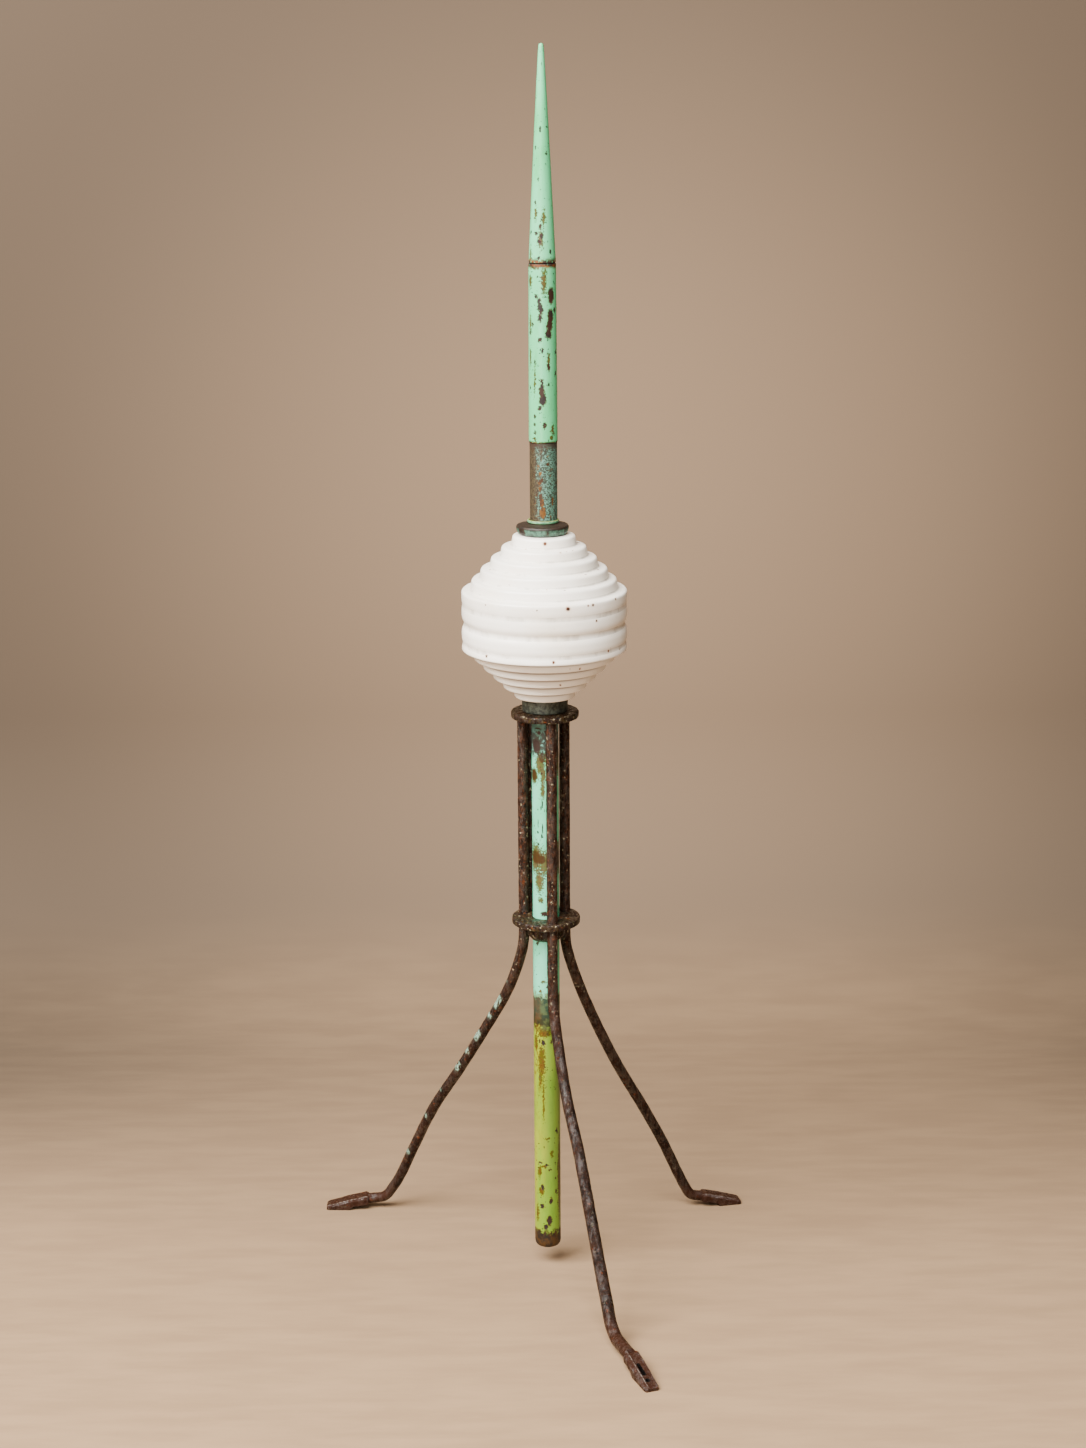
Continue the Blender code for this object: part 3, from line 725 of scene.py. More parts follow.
MAST_OCHRE = (
    (-46, 315, 6.2, 11), (-8, 312, 4, 9), (-30, 299, 3.4, 8.5), (-24, 385, 3.4, 7.5), (-58, 376, 4, 5.5),
    (62, 315, 6, 12), (60, 388, 6, 12), (-12, 366, 1.4, 6), (-25, 284.9, 1.8, 2), (-10, 378, 2, 8),
    (8, 390, 2.2, 6), (-29, 215.9, 1.5, 1.2), (-14, 223, 2, 1), (-24, 162, 2.6, 12), (-16, 133, 0.7, 16),
    (-38, 76, 1.4, 5), (20, 90, 1.2, 3), (-28, 60, 1.8, 3), (-20, 80, 2.2, 1), (-55, 176, 2, 6),
    (-52, 42, 1.4, 6), (0, 102, 2.2, 0.8), (66, 70, 2.4, 30), (-10, 184, 5, 3), (-30, 150, 1.4, 8),
)
MAST_BROWN = (
    (-50, 316.5, 4.2, 5.5), (-20, 315, 3.4, 3.4), (-58, 377, 3.4, 4.5), (-12, 390, 2.2, 4),
    (62, 315, 4, 6),
)
MAST_CRACKS = (
    (-14, 356.5, 0.5, 3.6), (-20, 353, 0.5, 1.6), (-34, 341.5, 0.4, 3.4), (-13, 338, 0.5, 4),
    (-17, 332.5, 0.5, 2), (-36, 335, 0.8, 1.1), (-34, 326.2, 0.9, 1.1), (-30, 411, 3, 0.6),
)
NECK_RUST = (
    (-14, 591.2, 1.2, 1.4), (-7, 586.6, 1, 1.4), (-15, 580.8, 1, 1.7), (-12, 575.2, 1.2, 2.6),
    (18, 597.8, 1.1, 1), (-8, 571.2, 1.5, 3), (-4, 564.5, 2, 4), (-16, 585, 1.2, 1.8),
    (-30, 576.5, 0.8, 1.2), (40, 572, 0.8, 3),
)

# On the ball: azimuth, distance from the axis, height, half size
BALL_SPECKS = (
    (2, 21.5, 544.9, 1.1), (23, 29.2, 540.2, 0.7), (33, 28.6, 540.4, 0.5), (44, 28.5, 540.4, 0.5),
    (-33, 22.9, 540.4, 0.6), (-73, 38.9, 525, 0.6), (44, 40.8, 525, 0.6), (70, 39.5, 525, 0.7),
    (103, 24.3, 540.4, 1), (97, 30.7, 532.7, 1), (85, 36.9, 524.9, 0.8), (100, 45.2, 517.3, 0.9),
    (2, 45.1, 517.3, 0.5), (17, 47.5, 517.3, 0.5), (16, 57.5, 506.6, 1.2), (31, 57.4, 507.3, 0.6),
    (35, 57.4, 507.5, 0.8), (58, 57.6, 508, 0.7), (-44, 57.5, 506.7, 0.4), (-5, 57.5, 506, 0.4),
    (-44, 57.5, 470.9, 0.8), (50, 57.5, 472.9, 0.8), (65, 57.6, 471.5, 0.6), (17, 35.6, 448.7, 0.7),
    (6, 57.4, 470, 0.8), (29, 49.3, 462.3, 0.6), (38, 57.5, 496.1, 0.7),
)

# Old paint left on the left leg, in millimetres: x and y from the mast's axis, height, half size
LEG_FLECKS = (
    (-26.4, 16, 214.6, 2.5), (-34.5, 22, 197, 6), (-40.8, 27, 184.3, 3), (-50, 35, 165.9, 4.8),
    (-57.5, 41.5, 151.1, 3.2), (-65.3, 48, 136.2, 4.5), (-78, 58.8, 113.3, 2.5), (-90.5, 69.5, 88.4, 3),
    (-105.2, 82, 53.4, 3.2),
)


# Materials

def paint_group():
    """Weathered paint: chips with rusty rims, blotchy stains, rust at the edges; bare where paint is gone."""
    inputs = {"Vector": (0.0, 0.0, 0.0), "Paint": MINT, "Chip Distance": 9.0, "Stain Distance": 9.0,
              "Stain Breakup": 5.0, "Edge Rust": 0.0}
    tree, given, results = start_group("weathered_paint", inputs, {"Color": 4, "Bare": 1, "Tone": 1})
    coords, base, chip = given["Vector"], given["Paint"], given["Chip Distance"]
    core = step(tree, chip, 1.22, 1.08)
    rim = step(tree, chip, 1.65, 1.25)
    blot = grain(tree, coords, 760.0, 5.0, 0.75)
    broken = times(tree, calc(tree, "SUBTRACT", 0.49, blot), given["Stain Breakup"])
    stain = step(tree, calc(tree, "ADD", given["Stain Distance"], broken), 1.15, 0.85)
    tiny = step(tree, grain(tree, coords, 480.0, 2.0, 0.5, offset=3.0), 0.685, 0.70)
    tone = grain(tree, coords, 60.0, 3.0, 0.5, (1.0, 1.0, 0.35))
    lighter = blend(tree, 1.0, base, (1.35, 1.12, 1.30, 1.0), "MULTIPLY")
    colour = blend(tree, step(tree, tone, 0.40, 0.66), base, lighter)
    worn = step(tree, grain(tree, coords, 130.0, 5.0, 0.65, (1.0, 1.0, 0.3), 7.0), 0.50, 0.70)
    darker = blend(tree, 1.0, colour, (0.68, 0.78, 0.62, 1.0), "MULTIPLY")
    colour = blend(tree, times(tree, worn, 0.5), colour, darker)
    hue = step(tree, grain(tree, coords, 260.0, 3.0, 0.6, offset=6.0), 0.42, 0.58)
    rusty = blend(tree, hue, OLIVE, blend(tree, step(tree, blot, 0.46, 0.58), OCHRE, OCHRE_BROWN))
    colour = blend(tree, times(tree, stain, 0.94), colour, rusty)
    colour = blend(tree, times(tree, rim, 0.8), colour, RUST_BROWN)
    rust = times(tree, given["Edge Rust"], step(tree, grain(tree, coords, 500.0), 0.30, 0.48))
    colour = blend(tree, rust, colour, blend(tree, hue, CHIP_BROWN, RUST_ORANGE))
    dark = blend(tree, step(tree, grain(tree, coords, 110.0, 2.0), 0.44, 0.56), CHIP_BROWN, CHIP_PURPLE)
    bare = calc(tree, "MAXIMUM", core, tiny)
    tree.links.new(blend(tree, bare, colour, dark), results["Color"])
    tree.links.new(calc(tree, "MAXIMUM", bare, rust), results["Bare"])
    tree.links.new(tone, results["Tone"])
    return tree


def painted(tree, coords, flat, base, chips, stains, broken, edge_rust=0.0):
    """Colour, bare share and tone of the rod's weathered paint, with its own chips and stains."""
    ragged = warped(tree, flat, 560.0, 0.0046)
    feeds = {"Vector": coords, "Paint": base, "Stain Breakup": broken, "Edge Rust": edge_rust,
             "Chip Distance": nearest(tree, ragged, rod_spots(chips)),
             "Stain Distance": nearest(tree, ragged, rod_spots(stains))}
    outputs = add(tree, "Group", feeds, node_tree=WEATHERED_PAINT).outputs
    return outputs["Color"], outputs["Bare"], outputs["Tone"]


def iron_group():
    """Dark rusted iron with clay and pale flecks higher up, redder at the feet, light grey along the worn
    ridges as rubbed metal and painted highlight.
    """
    inputs = {"Vector": (0.0, 0.0, 0.0), "Olive": 0.0, "Wear and Highlight": 0.0}
    tree, given, results = start_group("rusted_iron", inputs, {"Color": 4, "Relief": 1})
    coords, olive = given["Vector"], given["Olive"]
    height = add(tree, "SeparateXYZ", {0: coords}).outputs[2]
    high = step(tree, height, *HIGH_ON_STAND)
    broad = grain(tree, coords, 150.0, 5.0, 0.65, (1, 1, 0.45))
    fine = grain(tree, coords, 800.0, 5.0, 0.75, offset=2.0)
    colour = blend(tree, step(tree, broad, 0.38, 0.62), IRON_DARK, IRON_BROWN)
    red = times(tree, step(tree, fine, 0.46, 0.62), calc(tree, "MULTIPLY_ADD", olive, -0.3, 0.7))
    colour = blend(tree, red, colour, IRON_RED)
    clay = step(tree, grain(tree, coords, 380.0, 5.0, 0.75, (1, 1, 0.6), 25.0), 0.50, 0.60)
    clay_share = times(tree, clay, calc(tree, "MULTIPLY_ADD", high, 0.42, 0.06))
    colour = blend(tree, clay_share, colour, blend(tree, olive, IRON_CLAY, srgb(66, 53, 26)))
    orange = step(tree, grain(tree, coords, 330.0, 4.0, 0.6, offset=5.0), 0.62, 0.70)
    colour = blend(tree, times(tree, orange, 0.75), colour, IRON_ORANGE)
    grey = step(tree, grain(tree, coords, 300.0, 5.0, 0.7, (1, 1, 0.5), 9.0), 0.56, 0.66)
    colour = blend(tree, times(tree, grey, 0.5), colour, blend(tree, olive, IRON_GREY, srgb(70, 66, 34)))
    pale = step(tree, grain(tree, coords, 440.0, 2.0, 0.5, offset=14.0), 0.648, 0.685)
    pale_share = times(tree, pale, calc(tree, "MULTIPLY_ADD", high, 0.60, 0.20))
    colour = blend(tree, pale_share, colour, srgb(132, 122, 98))
    colour = blend(tree, times(tree, step(tree, height, *LOW_ON_STAND), 0.5), colour, IRON_RED)
    # Light grey along the feet's ridges: rubbed metal and painted highlight
    ragged = step(tree, grain(tree, coords, 700.0, 4.0, 0.6, offset=21.0), 0.36, 0.52)
    wear_and_highlight = step(tree, times(tree, given["Wear and Highlight"], ragged), 0.35, 0.85)
    colour = blend(tree, times(tree, wear_and_highlight, 0.85), colour, srgb(118, 108, 100))
    tree.links.new(colour, results["Color"])
    tree.links.new(calc(tree, "ADD", broad, times(tree, fine, 0.6)), results["Relief"])
    return tree


GRAIN = grain_group()
WEATHERED_PAINT = paint_group()
RUSTED_IRON = iron_group()


def mint_material():
    material, tree, shader = start_material("mint_paint_look")
    coords = object_coords(tree)
    flat, _, height = unwrapped(tree, coords)
    seam = calc(tree, "ABSOLUTE", calc(tree, "SUBTRACT", height, (TUBE_TOP + SPEAR_BOTTOM) / 2))
    foot = calc(tree, "SUBTRACT", height, TUBE_BOTTOM)
    edge = calc(tree, "MAXIMUM", step(tree, seam, 0.0046, 0.0014), step(tree, foot, 0.0016, 0.0004))
    chips = SPEAR_CHIPS + TUBE_CHIPS
    colour, bare, tone = painted(tree, coords, flat, MINT, chips, OCHRE_STAINS, 5.0, edge)
    groove = step(tree, seam, 0.0011, 0.0003)
    colour = blend(tree, times(tree, groove, 0.9), colour, srgb(24, 16, 12))
    gloss = calc(tree, "MULTIPLY_ADD", bare, 0.3, calc(tree, "MULTIPLY_ADD", tone, 0.14, 0.24))
    join(tree, shader, Base_Color=colour, Roughness=gloss, Specular_IOR_Level=0.35)
    lift = calc(tree, "SUBTRACT", times(tree, grain(tree, coords, 300.0, 5.0, 0.6), 0.35), bare)
    raise_surface(tree, shader, lift, 0.0004, 0.6)
    return material


def band_rust(tree, azimuth, rust_tone):
    """Rust of the band between the two paints: brown on the left, green-grey in the middle."""
    rust_left = blend(tree, step(tree, rust_tone, 0.40, 0.60), srgb(20, 10, 4), srgb(58, 24, 3))
    rust_middle = blend(tree, step(tree, rust_tone, 0.44, 0.56), srgb(14, 14, 7), srgb(58, 62, 30))
    turned_right = calc(tree, "ADD", azimuth, calc(tree, "MULTIPLY_ADD", rust_tone, 1.6, -0.8))
    return blend(tree, step(tree, turned_right, -0.55, -0.15), rust_left, rust_middle)


def neck_patina(tree, coords, rust_tone):
    """Bare neck: brown on the left, turquoise on the right, with rust spots and a rusty top."""
    flat, azimuth, height = unwrapped(tree, coords)
    fine = grain(tree, coords, 900.0, 5.0, 0.75, offset=1.0)
    patina = blend(tree, step(tree, fine, 0.46, 0.56), srgb(40, 40, 32), TURQUOISE)
    drift = grain(tree, coords, 160.0, 4.0, 0.65, offset=8.0)
    browner = calc(tree, "ADD", azimuth, calc(tree, "MULTIPLY_ADD", drift, -2.4, 1.2))
    brown = blend(tree, step(tree, fine, 0.40, 0.60), srgb(30, 20, 12), srgb(70, 50, 26))
    patina = blend(tree, times(tree, step(tree, browner, -0.05, -0.55), 0.9), patina, brown)
    spots = step(tree, nearest(tree, warped(tree, flat, 600.0, 0.0030), rod_spots(NECK_RUST)), 1.2, 0.9)
    scatter = step(tree, grain(tree, coords, 420.0, 4.0, 0.65, (1, 1, 0.8), 12.0), 0.60, 0.66)
    spots = calc(tree, "MAXIMUM", spots, times(tree, scatter, 0.8))
    spot_rust = blend(tree, step(tree, rust_tone, 0.4, 0.6), srgb(50, 28, 10), srgb(94, 58, 6))
    patina = blend(tree, spots, patina, spot_rust)
    top_rust = step(tree, height, MAST_TOP - 0.0060, MAST_TOP - 0.0008)
    patina = blend(tree, times(tree, top_rust, 0.85), patina, srgb(48, 34, 26))
    return patina


def mast_material():
    """Patinated neck, mint paint between and under the plates with a painted shadow just under the upper
    plate, a rust band, then stained yellow-green.
    """
    material, tree, shader = start_material("mast_look")
    coords = object_coords(tree)
    flat, azimuth, height = unwrapped(tree, coords)
    jag = calc(tree, "MULTIPLY_ADD", grain(tree, coords, 330.0, 4.0, 0.7), 0.018, -0.009)
    ragged_height = calc(tree, "ADD", height, jag)
    low_paint = step(tree, ragged_height, *YELLOW_GREEN_STARTS)
    # Yellow-green, yellower on the left and darker and greener towards the right, where the darkening is
    # painted shade
    green = blend(tree, step(tree, azimuth, -0.7, 0.5), srgb(124, 138, 22), srgb(90, 122, 40))
    streak = step(tree, grain(tree, coords, 110.0, 4.0, 0.6, (1, 1, 0.12), 2.0), 0.40, 0.66)
    green = blend(tree, times(tree, streak, 0.7), green, srgb(106, 142, 30))
    # Dark teal just under the upper plate: painted shadow of the plate
    teal = within(tree, ragged_height, *PLATE_SHADOW_STRETCH)
    upper = blend(tree, step(tree, ragged_height, 0.385, 0.400), BLUE_MINT, srgb(96, 150, 136))
    upper = blend(tree, times(tree, teal, 0.8), upper, srgb(46, 78, 68))
    base = blend(tree, low_paint, upper, green)
    colour, bare, tone = painted(tree, coords, flat, base, MAST_CHIPS, MAST_OCHRE, 3.4)
    brown = step(tree, nearest(tree, warped(tree, flat, 400.0, 0.0030), rod_spots(MAST_BROWN)), 1.15, 0.75)
    colour = blend(tree, times(tree, brown, 0.85), colour, OCHRE_BROWN)
    mottle = step(tree, grain(tree, coords, 420.0, 4.0, 0.7, (1, 1, 0.5), 4.0), 0.52, 0.60)
    left_stain = times(tree, step(tree, azimuth, 0.1, -0.9), step(tree, height, 0.08, 0.19))
    stained = times(tree, times(tree, mottle, left_stain), low_paint)
    colour = blend(tree, times(tree, stained, 0.85), colour, OCHRE)
    purple = within(tree, ragged_height, *PURPLE_STRETCH)
    purple = times(tree, purple, step(tree, grain(tree, coords, 420.0, 4.0, 0.7, offset=13.0), 0.62, 0.56))
    colour = blend(tree, times(tree, purple, 0.9), colour, srgb(38, 26, 22))
    cracks = step(tree, nearest(tree, warped(tree, flat, 700.0, 0.0016), rod_spots(MAST_CRACKS)), 1.1, 0.8)
    colour = blend(tree, cracks, colour, srgb(30, 24, 20))
    band = within(tree, ragged_height, *RUST_BAND)
    rust_tone = grain(tree, coords, 200.0, 5.0, 0.65, offset=9.0)
    rust = band_rust(tree, azimuth, rust_tone)
    colour = blend(tree, times(tree, band, 0.95), colour, rust)
    drip = within(tree, ragged_height, *RUST_DRIP)
    colour = blend(tree, times(tree, drip, 0.7), colour, srgb(92, 74, 6))
    end = step(tree, ragged_height, *RUSTY_END_STARTS)
    end_rust = blend(tree, step(tree, rust_tone, 0.4, 0.62), srgb(22, 14, 6), srgb(62, 38, 7))
    colour = blend(tree, end, colour, end_rust)
    neck = step(tree, height, *NECK_STARTS)
    patina = neck_patina(tree, coords, rust_tone)
    colour = blend(tree, neck, colour, patina)
    rough = calc(tree, "MAXIMUM", calc(tree, "MAXIMUM", bare, band), calc(tree, "MAXIMUM", neck, end))
    gloss = calc(tree, "MULTIPLY_ADD", rough, 0.24, calc(tree, "MULTIPLY_ADD", tone, 0.14, 0.24))
    join(tree, shader, Base_Color=colour, Roughness=gloss, Specular_IOR_Level=0.35)
    pits = times(tree, grain(tree, coords, 420.0, 5.0, 0.65), calc(tree, "MULTIPLY_ADD", rough, 0.8, 0.3))
    raise_surface(tree, shader, calc(tree, "SUBTRACT", pits, bare), 0.0004, 0.6)
    return material


def patina_material():
    """Cap: dark brown above, turquoise on the side that faces the viewer."""
    material, tree, shader = start_material("patinated_metal_look")
    coords = object_coords(tree)
    parts = add(tree, "SeparateXYZ", {0: coords}).outputs
    tone = grain(tree, coords, 420.0, 5.0, 0.65)
    brown = blend(tree, step(tree, tone, 0.36, 0.62), srgb(19, 13, 9), srgb(44, 31, 21))
    side = step(tree, parts[2], CAP_BOTTOM + 0.0048, CAP_BOTTOM + 0.0032)
    patchy = step(tree, grain(tree, coords, 210.0, 4.0, 0.6, (1, 1, 0.6), 2.0), 0.36, 0.52)
    stain = ((-0.0145, -0.0105, CAP_BOTTOM + 0.002), (0.0035, 0.0035, 0.004))
    left_dark = step(tree, nearest(tree, coords, [stain]), 0.9, 1.2)
    green = times(tree, times(tree, side, patchy), left_dark)
    teal = blend(tree, step(tree, tone, 0.35, 0.62), srgb(32, 50, 43), srgb(80, 128, 108))
    colour = blend(tree, times(tree, green, 0.9), brown, teal)
    join(tree, shader, Base_Color=colour, Roughness=0.5, Metallic=0.25)
    raise_surface(tree, shader, tone, 0.0005, 0.7)
    return material


def ring_material():
    material, tree, shader = start_material("ring_look")
    coords = object_coords(tree)
    tone = grain(tree, coords, 500.0, 4.0)
    height = add(tree, "SeparateXYZ", {0: coords}).outputs[2]
    edge = calc(tree, "ABSOLUTE", calc(tree, "SUBTRACT", height, (RING_BOTTOM + RING_TOP) / 2))
    colour = blend(tree, step(tree, tone, 0.4, 0.65), srgb(66, 122, 90), srgb(116, 160, 116))
    colour = blend(tree, times(tree, step(tree, edge, 0.0005, 0.0009), 0.7), colour, srgb(120, 112, 40))
    join(tree, shader, Base_Color=colour, Roughness=0.4)
    raise_surface(tree, shader, tone, 0.0003, 0.5)
    return material


def glaze_material():
    """White glaze: warm drifts, brown specks, soiling and painted shade in the inside corners, painted shade
    in the lower tiers' recesses and on the right side.
    """
    material, tree, shader = start_material("white_glaze_look")
    coords = object_coords(tree)
    hollow = add(tree, "Attribute", {}, attribute_name="hollow").outputs["Fac"]
    drift = step(tree, grain(tree, coords, 26.0, 3.0, 0.5), 0.4, 0.75)
    colour = blend(tree, times(tree, drift, 0.5), srgb(249, 243, 233), srgb(238, 225, 205))
    parts = add(tree, "SeparateXYZ", {0: coords}).outputs
    patchy = step(tree, grain(tree, coords, 120.0, 4.0, 0.6, (1, 1, 0.5), 6.0), 0.45, 0.7)
    # Right side of the ball, away from the light, where more painted shade goes
    right = step(tree, parts[0], -0.02, 0.05)
    amount = calc(tree, "MULTIPLY_ADD", patchy, 0.3, calc(tree, "MULTIPLY_ADD", right, 0.22, 0.06))
    # Darker in the inside corners: soiling and painted shade, more of it on the right side
    corner_dirt_and_shade = times(tree, step(tree, hollow, 0.80, 1.0), amount)
    # Lower tiers: painted shade, each riser darker towards the overhang above it and darkest in the recess
    under = step(tree, parts[2], *LOWER_TIER_SHADE_STARTS)
    colour = blend(tree, corner_dirt_and_shade, colour, srgb(116, 98, 72))
    shade = times(tree, step(tree, hollow, 0.25, 0.90), 0.40)
    recess_shade = calc(tree, "MULTIPLY_ADD", step(tree, hollow, 0.56, 0.80), 0.44, shade)
    colour = blend(tree, times(tree, under, recess_shade), colour, srgb(92, 76, 54))
    # Beige patches on the right side: painted shade
    right_shade_patches = times(tree, step(tree, grain(tree, coords, 75.0, 5.0, 0.7, offset=11.0), 0.58, 0.75), 0.22)
    colour = blend(tree, times(tree, right_shade_patches, right), colour, srgb(200, 176, 146))
    spots = []
    for azimuth, radius, height, size in BALL_SPECKS:
        place = heading(azimuth) * radius * MM
        spots.append(((place.x, place.y, height * MM), (size * MM,) * 3))
    near = nearest(tree, warped(tree, coords, 700.0, 0.0012), spots)
    halo = times(tree, step(tree, near, 2.3, 1.0), 0.5)
    colour = blend(tree, halo, colour, srgb(196, 146, 92))
    darker = step(tree, grain(tree, coords, 200.0, 1.0), 0.4, 0.6)
    speck_tone = blend(tree, darker, srgb(84, 44, 16), srgb(44, 26, 16))
    colour = blend(tree, step(tree, near, 1.35, 0.9), colour, speck_tone)
    tiny = step(tree, grain(tree, coords, 380.0, 1.0, 0.4, offset=8.0), 0.80, 0.83)
    colour = blend(tree, times(tree, tiny, 0.6), colour, srgb(130, 84, 44))
    join(tree, shader, Base_Color=colour, Roughness=0.34, Coat_Weight=0.25, Coat_Roughness=0.2)
    raise_surface(tree, shader, grain(tree, coords, 150.0, 5.0, 0.6), 0.0004, 0.35)
    return material


def hole_shade_spots(leg):
    """Spots of painted shade round the toe hole and along the slot, in the leg's own coordinates."""
    heel = leg_path(leg)[-1][0]
    ahead = heading(leg["foot"])
    half_run = SLOT_LENGTH / 2 - SLOT_RADIUS
    setbacks = [(TOE_HOLE_SETBACK, TOE_HOLE_RADIUS)]
    setbacks += [(SLOT_SETBACK + half_run * k / 3, SLOT_RADIUS) for k in range(-3, 4)]
    spots = []
    for setback, radius in setbacks:
        centre = heel + ahead * (leg["foot_length"] - setback)
        spots.append(((centre.x, centre.y, 0.0), (radius + 0.0006, radius + 0.0006, FOOT_HEIGHT)))
    return spots


def iron_material(name, flecks=(), olive=0.0, hole_shade=()):
    """Rusted iron, glossy in places, with optional paint flecks, painted shade round holes and an olive cast.
    """
    material, tree, shader = start_material(name)
    coords = object_coords(tree)
    # worn marks the feet's ridges, painted light grey as rubbed metal and painted highlight
    worn = add(tree, "Attribute", {}, attribute_name="worn").outputs["Fac"]
    iron = add(tree, "Group", {"Vector": coords, "Olive": olive, "Wear and Highlight": worn}, node_tree=RUSTED_IRON)
    colour = iron.outputs["Color"]
    if flecks:
        spots = [((x * MM, y * MM, z * MM), (size * MM,) * 3) for x, y, z, size in flecks]
        near = step(tree, nearest(tree, coords, spots), 1.3, 0.7)
        normal = add(tree, "NewGeometry", {}).outputs["Normal"]
        left = step(tree, add(tree, "SeparateXYZ", {0: normal}).outputs[0], -0.25, -0.55)
        torn = step(tree, grain(tree, coords, 520.0, 4.0, 0.65, (1, 1, 0.45), 3.0), 0.44, 0.52)
        paint = times(tree, times(tree, near, left), torn)
        colour = blend(tree, paint, colour, srgb(128, 158, 138))
    # Nearly black round the toe hole and along the slot: painted shade of the openings
    if hole_shade:
        colour = blend(tree, step(tree, nearest(tree, coords, hole_shade), 1.05, 0.95), colour, srgb(6, 4, 3))
    polish = cells(tree, coords, 260.0, 5.0, 0.80, (1, 1, 0.4), (17.0, 17.0, 17.0))
    gloss = step(tree, polish, 0.42, 0.56)
    rough = calc(tree, "MULTIPLY_ADD", gloss, 0.36, 0.28)
    shine = calc(tree, "MULTIPLY_ADD", gloss, -0.40, 0.50)
    join(tree, shader, Base_Color=colour, Roughness=rough, Specular_IOR_Level=shine)
    raise_surface(tree, shader, iron.outputs["Relief"], 0.0011, 1.0)
    return material


def collar_material():
    material, tree, shader = start_material("dark_iron_look")
    coords = object_coords(tree)
    tone = grain(tree, coords, 380.0, 5.0, 0.65)
    colour = blend(tree, step(tree, tone, 0.35, 0.65), srgb(32, 33, 28), srgb(74, 78, 66))
    join(tree, shader, Base_Color=colour, Roughness=0.5, Metallic=0.3)
    raise_surface(tree, shader, tone, 0.0005, 0.6)
    return material


# Pieces

def build_pieces():
    mint, mast, iron = mint_material(), mast_material(), iron_material("rusted_iron_look")
    plate_iron = iron_material("plate_iron_look", olive=1.0)
    bore = MAST_RADIUS + GAP
    ring = washer(bore, RING_RADIUS, RING_BOTTOM, RING_TOP, 0.0008)
    collar = washer(bore, COLLAR_RADIUS, COLLAR_BOTTOM, COLLAR_TOP, 0.0009)
    upper_plate = washer(bore, UPPER_PLATE_RADIUS, UPPER_PLATE_BOTTOM, UPPER_PLATE_TOP, 0.0011)
    upright = washer(0.0, BAR_RADIUS, LOWER_PLATE_TOP + GAP, UPPER_PLATE_BOTTOM - GAP, 0.0002)
    upright_place = AXIS + heading(REAR_UPRIGHT_AZIMUTH) * BAR_CIRCLE_RADIUS
    turned_pieces = (
        ("spear_point", spear_outline(), ROD_SIDES, AXIS, mint, ROD_UNEVENNESS),
        ("upper_tube", tube_outline(), ROD_SIDES, AXIS, mint, ROD_UNEVENNESS),
        ("mast_rod", mast_outline(), ROD_SIDES, AXIS, mast, ROD_UNEVENNESS),
        ("neck_ring", ring, ROD_SIDES, middle("neck_ring"), ring_material(), RING_UNEVENNESS),
        ("top_cap", cap_outline(bore), ROD_SIDES, middle("top_cap"), patina_material(), CAP_UNEVENNESS),
        ("ribbed_ball", ball_outline(), TURNED_SIDES, AXIS, glaze_material(), GLAZE_UNEVENNESS),
        ("bottom_collar", collar, ROD_SIDES, AXIS, collar_material(), COLLAR_UNEVENNESS),
        ("upper_plate", upper_plate, TURNED_SIDES, AXIS, plate_iron, PLATE_UNEVENNESS),
        ("lower_plate", lower_plate_outline(bore), TURNED_SIDES, AXIS, plate_iron, PLATE_UNEVENNESS),
        ("rear_upright", upright, 4 * BAR_QUARTER, upright_place, iron, BAR_UNEVENNESS),
    )
    for node, outline, sides, place, material, unevenness in turned_pieces:
        obj = turned(node, outline, sides, place)
        weather(obj, *unevenness)
        smooth(obj)
        dress(obj, material, node)
    flecked = iron_material("flecked_iron_look", LEG_FLECKS)
    holed = iron_material("holed_iron_look", hole_shade=hole_shade_spots(LEGS["front_leg"]))
    for name, material in (("left_leg", flecked), ("right_leg", iron), ("front_leg", holed)):
        build_leg(name, LEGS[name], material)


# Studio

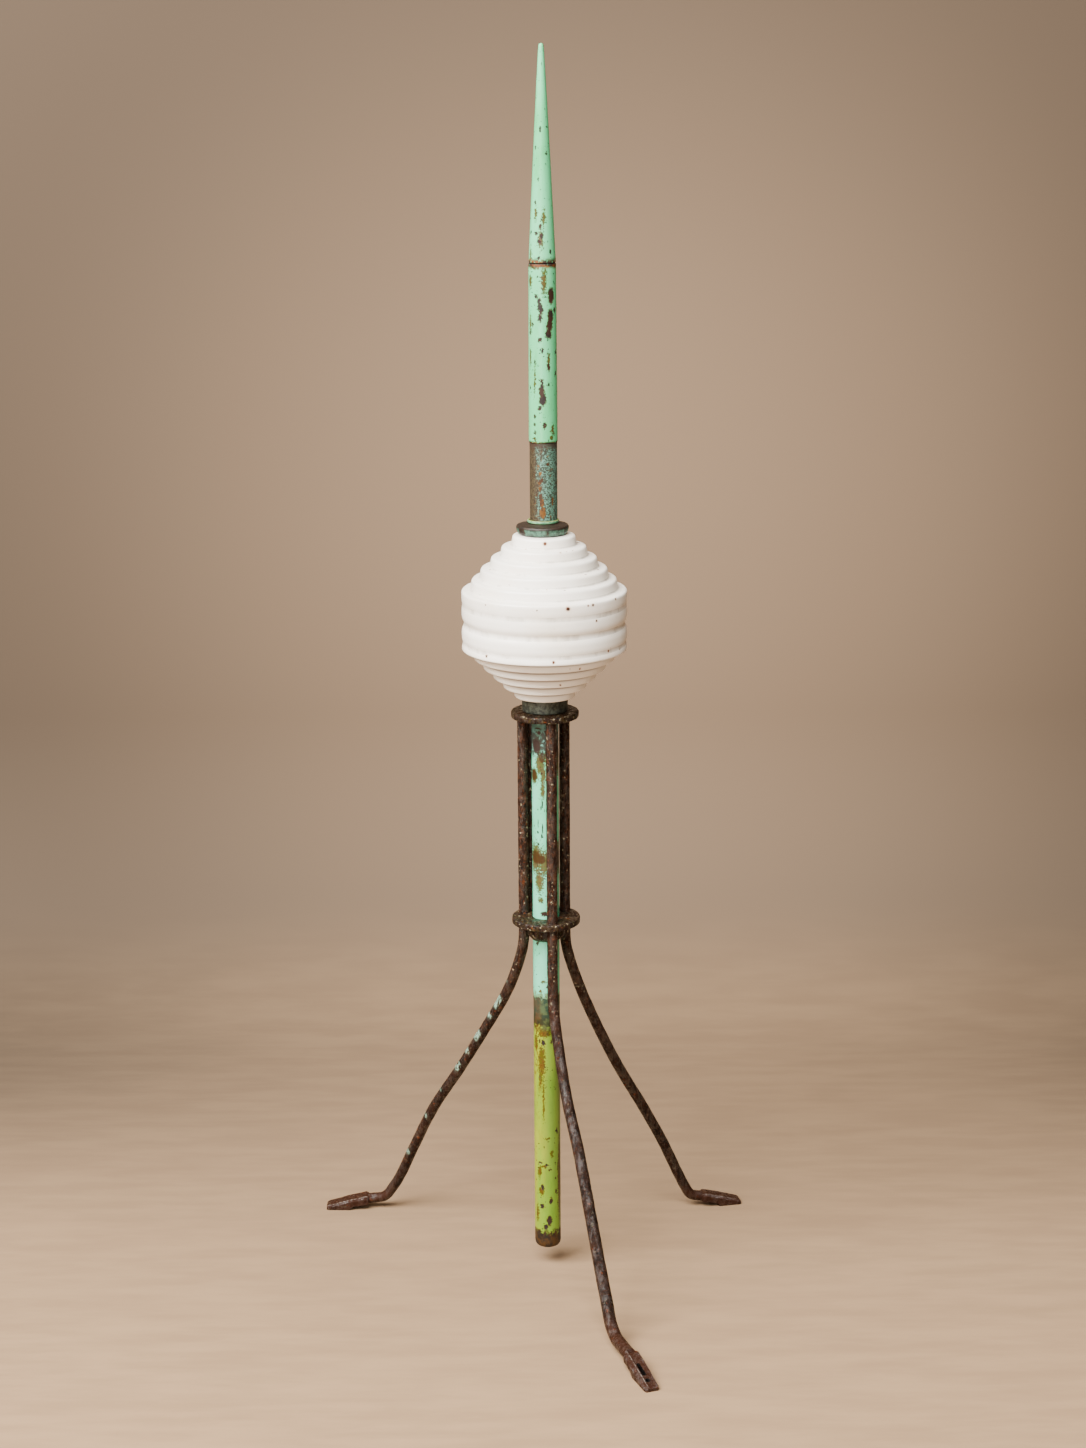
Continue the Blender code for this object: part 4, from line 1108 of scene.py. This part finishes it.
def build_stage():
    """Pale floor and backdrop with painted light falloff: both darker further from the object, and clear when
    seen from behind.
    """
    half_width, front, bend, radius, rise, steps = 4.0, -3.0, 0.42, 0.25, 3.0, 16
    profile = [(front, 0.0), (bend, 0.0)]
    for k in range(1, steps + 1):
        angle = pi / 2 * k / steps
        profile.append((bend + radius * sin(angle), radius * (1 - cos(angle))))
    profile.append((bend + radius, rise))
    bm = bmesh.new()
    rows = [[bm.verts.new((x, y, z)) for x in (-half_width, half_width)] for y, z in profile]
    for first, second in zip(rows, rows[1:]):
        bm.faces.new((first[0], first[1], second[1], second[0]))
    stage = as_object("studio_floor", bm, AXIS)
    if stage.data.polygons[0].normal.z < 0.0:
        stage.data.flip_normals()
    stage.data.shade_smooth()
    material, tree, shader = start_material("studio_floor")
    coords = object_coords(tree)
    parts = add(tree, "SeparateXYZ", {0: coords}).outputs
    streaks = grain(tree, coords, 11.0, 5.0, 0.6, (1.0, 5.0, 5.0))
    floor_colour = blend(tree, step(tree, streaks, 0.3, 0.7), srgb(136, 109, 81), srgb(146, 118, 88))
    # Floor darker further back and towards the sides: painted falloff of light
    floor_light_falloff = calc(tree, "MULTIPLY_ADD", step(tree, parts[1], -0.35, 0.45), -0.42, 1.05)
    sideways = calc(tree, "ABSOLUTE", calc(tree, "SUBTRACT", parts[0], 0.07))
    side_light_falloff = times(tree, step(tree, sideways, 0.08, 0.62), step(tree, parts[1], 0.0, 0.42))
    floor_light_falloff = calc(tree, "MULTIPLY_ADD", side_light_falloff, -0.36, floor_light_falloff)
    floor_colour = blend(tree, 1.0, floor_colour, floor_light_falloff, "MULTIPLY")
    # Backdrop darker further from its middle, level with the object: painted pool of light
    pool = vector(tree, "LENGTH", vector(tree, "MULTIPLY_ADD", coords, (1.0, 0.0, 1.0), (-0.08, 0.0, -0.42)))
    shade = calc(tree, "MULTIPLY_ADD", step(tree, pool, 0.02, 0.66), -0.64, 1.0)
    wall_colour = blend(tree, 1.0, srgb(120, 99, 78), shade, "MULTIPLY")
    colour = blend(tree, step(tree, parts[2], 0.0, 0.09), floor_colour, wall_colour)
    join(tree, shader, Base_Color=colour, Roughness=0.95)
    behind = add(tree, "NewGeometry", {}).outputs["Backfacing"]
    clear = add(tree, "BsdfTransparent", {}).outputs[0]
    one_sided = add(tree, "MixShader", {0: behind, 1: shader.outputs[0], 2: clear}).outputs[0]
    tree.links.new(one_sided, tree.nodes["Material Output"].inputs["Surface"])
    stage.data.materials.append(material)


def lamp(name, place, size, power, colour, aim):
    data = bpy.data.lights.new(name, "AREA")
    data.shape, data.size, data.energy, data.color = "DISK", size, power, colour
    obj = bpy.data.objects.new(name, data)
    obj.location = AXIS + Vector(place)
    obj.rotation_euler = (AXIS + Vector(aim) - obj.location).to_track_quat("-Z", "Y").to_euler()
    bpy.context.collection.objects.link(obj)


def build_light():
    """Large key from the left, a softer one above the viewer, little fill."""
    lamp("key", (-1.50, -1.12, 2.20), 1.8, 235.0, (1.0, 0.98, 0.94), (0, 0, 0.45))
    lamp("front", (-0.35, -1.52, 2.55), 1.6, 168.0, (1.0, 0.98, 0.94), (0, 0, 0.45))
    lamp("low_fill", (-0.70, -2.30, 0.60), 1.0, 25.0, (1.0, 0.97, 0.92), (0, 0, 0.45))
    world = bpy.data.worlds.new("studio")
    bpy.context.scene.world = world
    world.use_nodes = True
    background = world.node_tree.nodes["Background"]
    background.inputs["Color"].default_value = srgb(232, 222, 210)
    background.inputs["Strength"].default_value = 0.18


def build_camera():
    """The photograph's view: 1.81 m in front of the mast, 0.88 m up, tilted down, with a slight roll."""
    place, pitch, roll, lens = Vector((-0.0014, -1.81, 0.8803)), radians(14.5), radians(0.35), 66.03
    right = Vector((1.0, 0.0, 0.0))
    ahead = Vector((0.0, cos(pitch), -sin(pitch)))
    up = right.cross(ahead)
    camera_x = right * cos(roll) - up * sin(roll)
    camera_y = right * sin(roll) + up * cos(roll)
    turn = Matrix((camera_x, camera_y, -ahead)).transposed()
    data = bpy.data.cameras.new("camera")
    data.sensor_fit, data.sensor_height, data.sensor_width = "VERTICAL", 36.0, 27.0
    data.lens = lens
    data.clip_start = 0.05
    obj = bpy.data.objects.new("camera", data)
    obj.matrix_world = Matrix.Translation(AXIS + place) @ turn.to_4x4()
    bpy.context.collection.objects.link(obj)
    bpy.context.scene.camera = obj


build_pieces()
build_stage()
build_light()
build_camera()
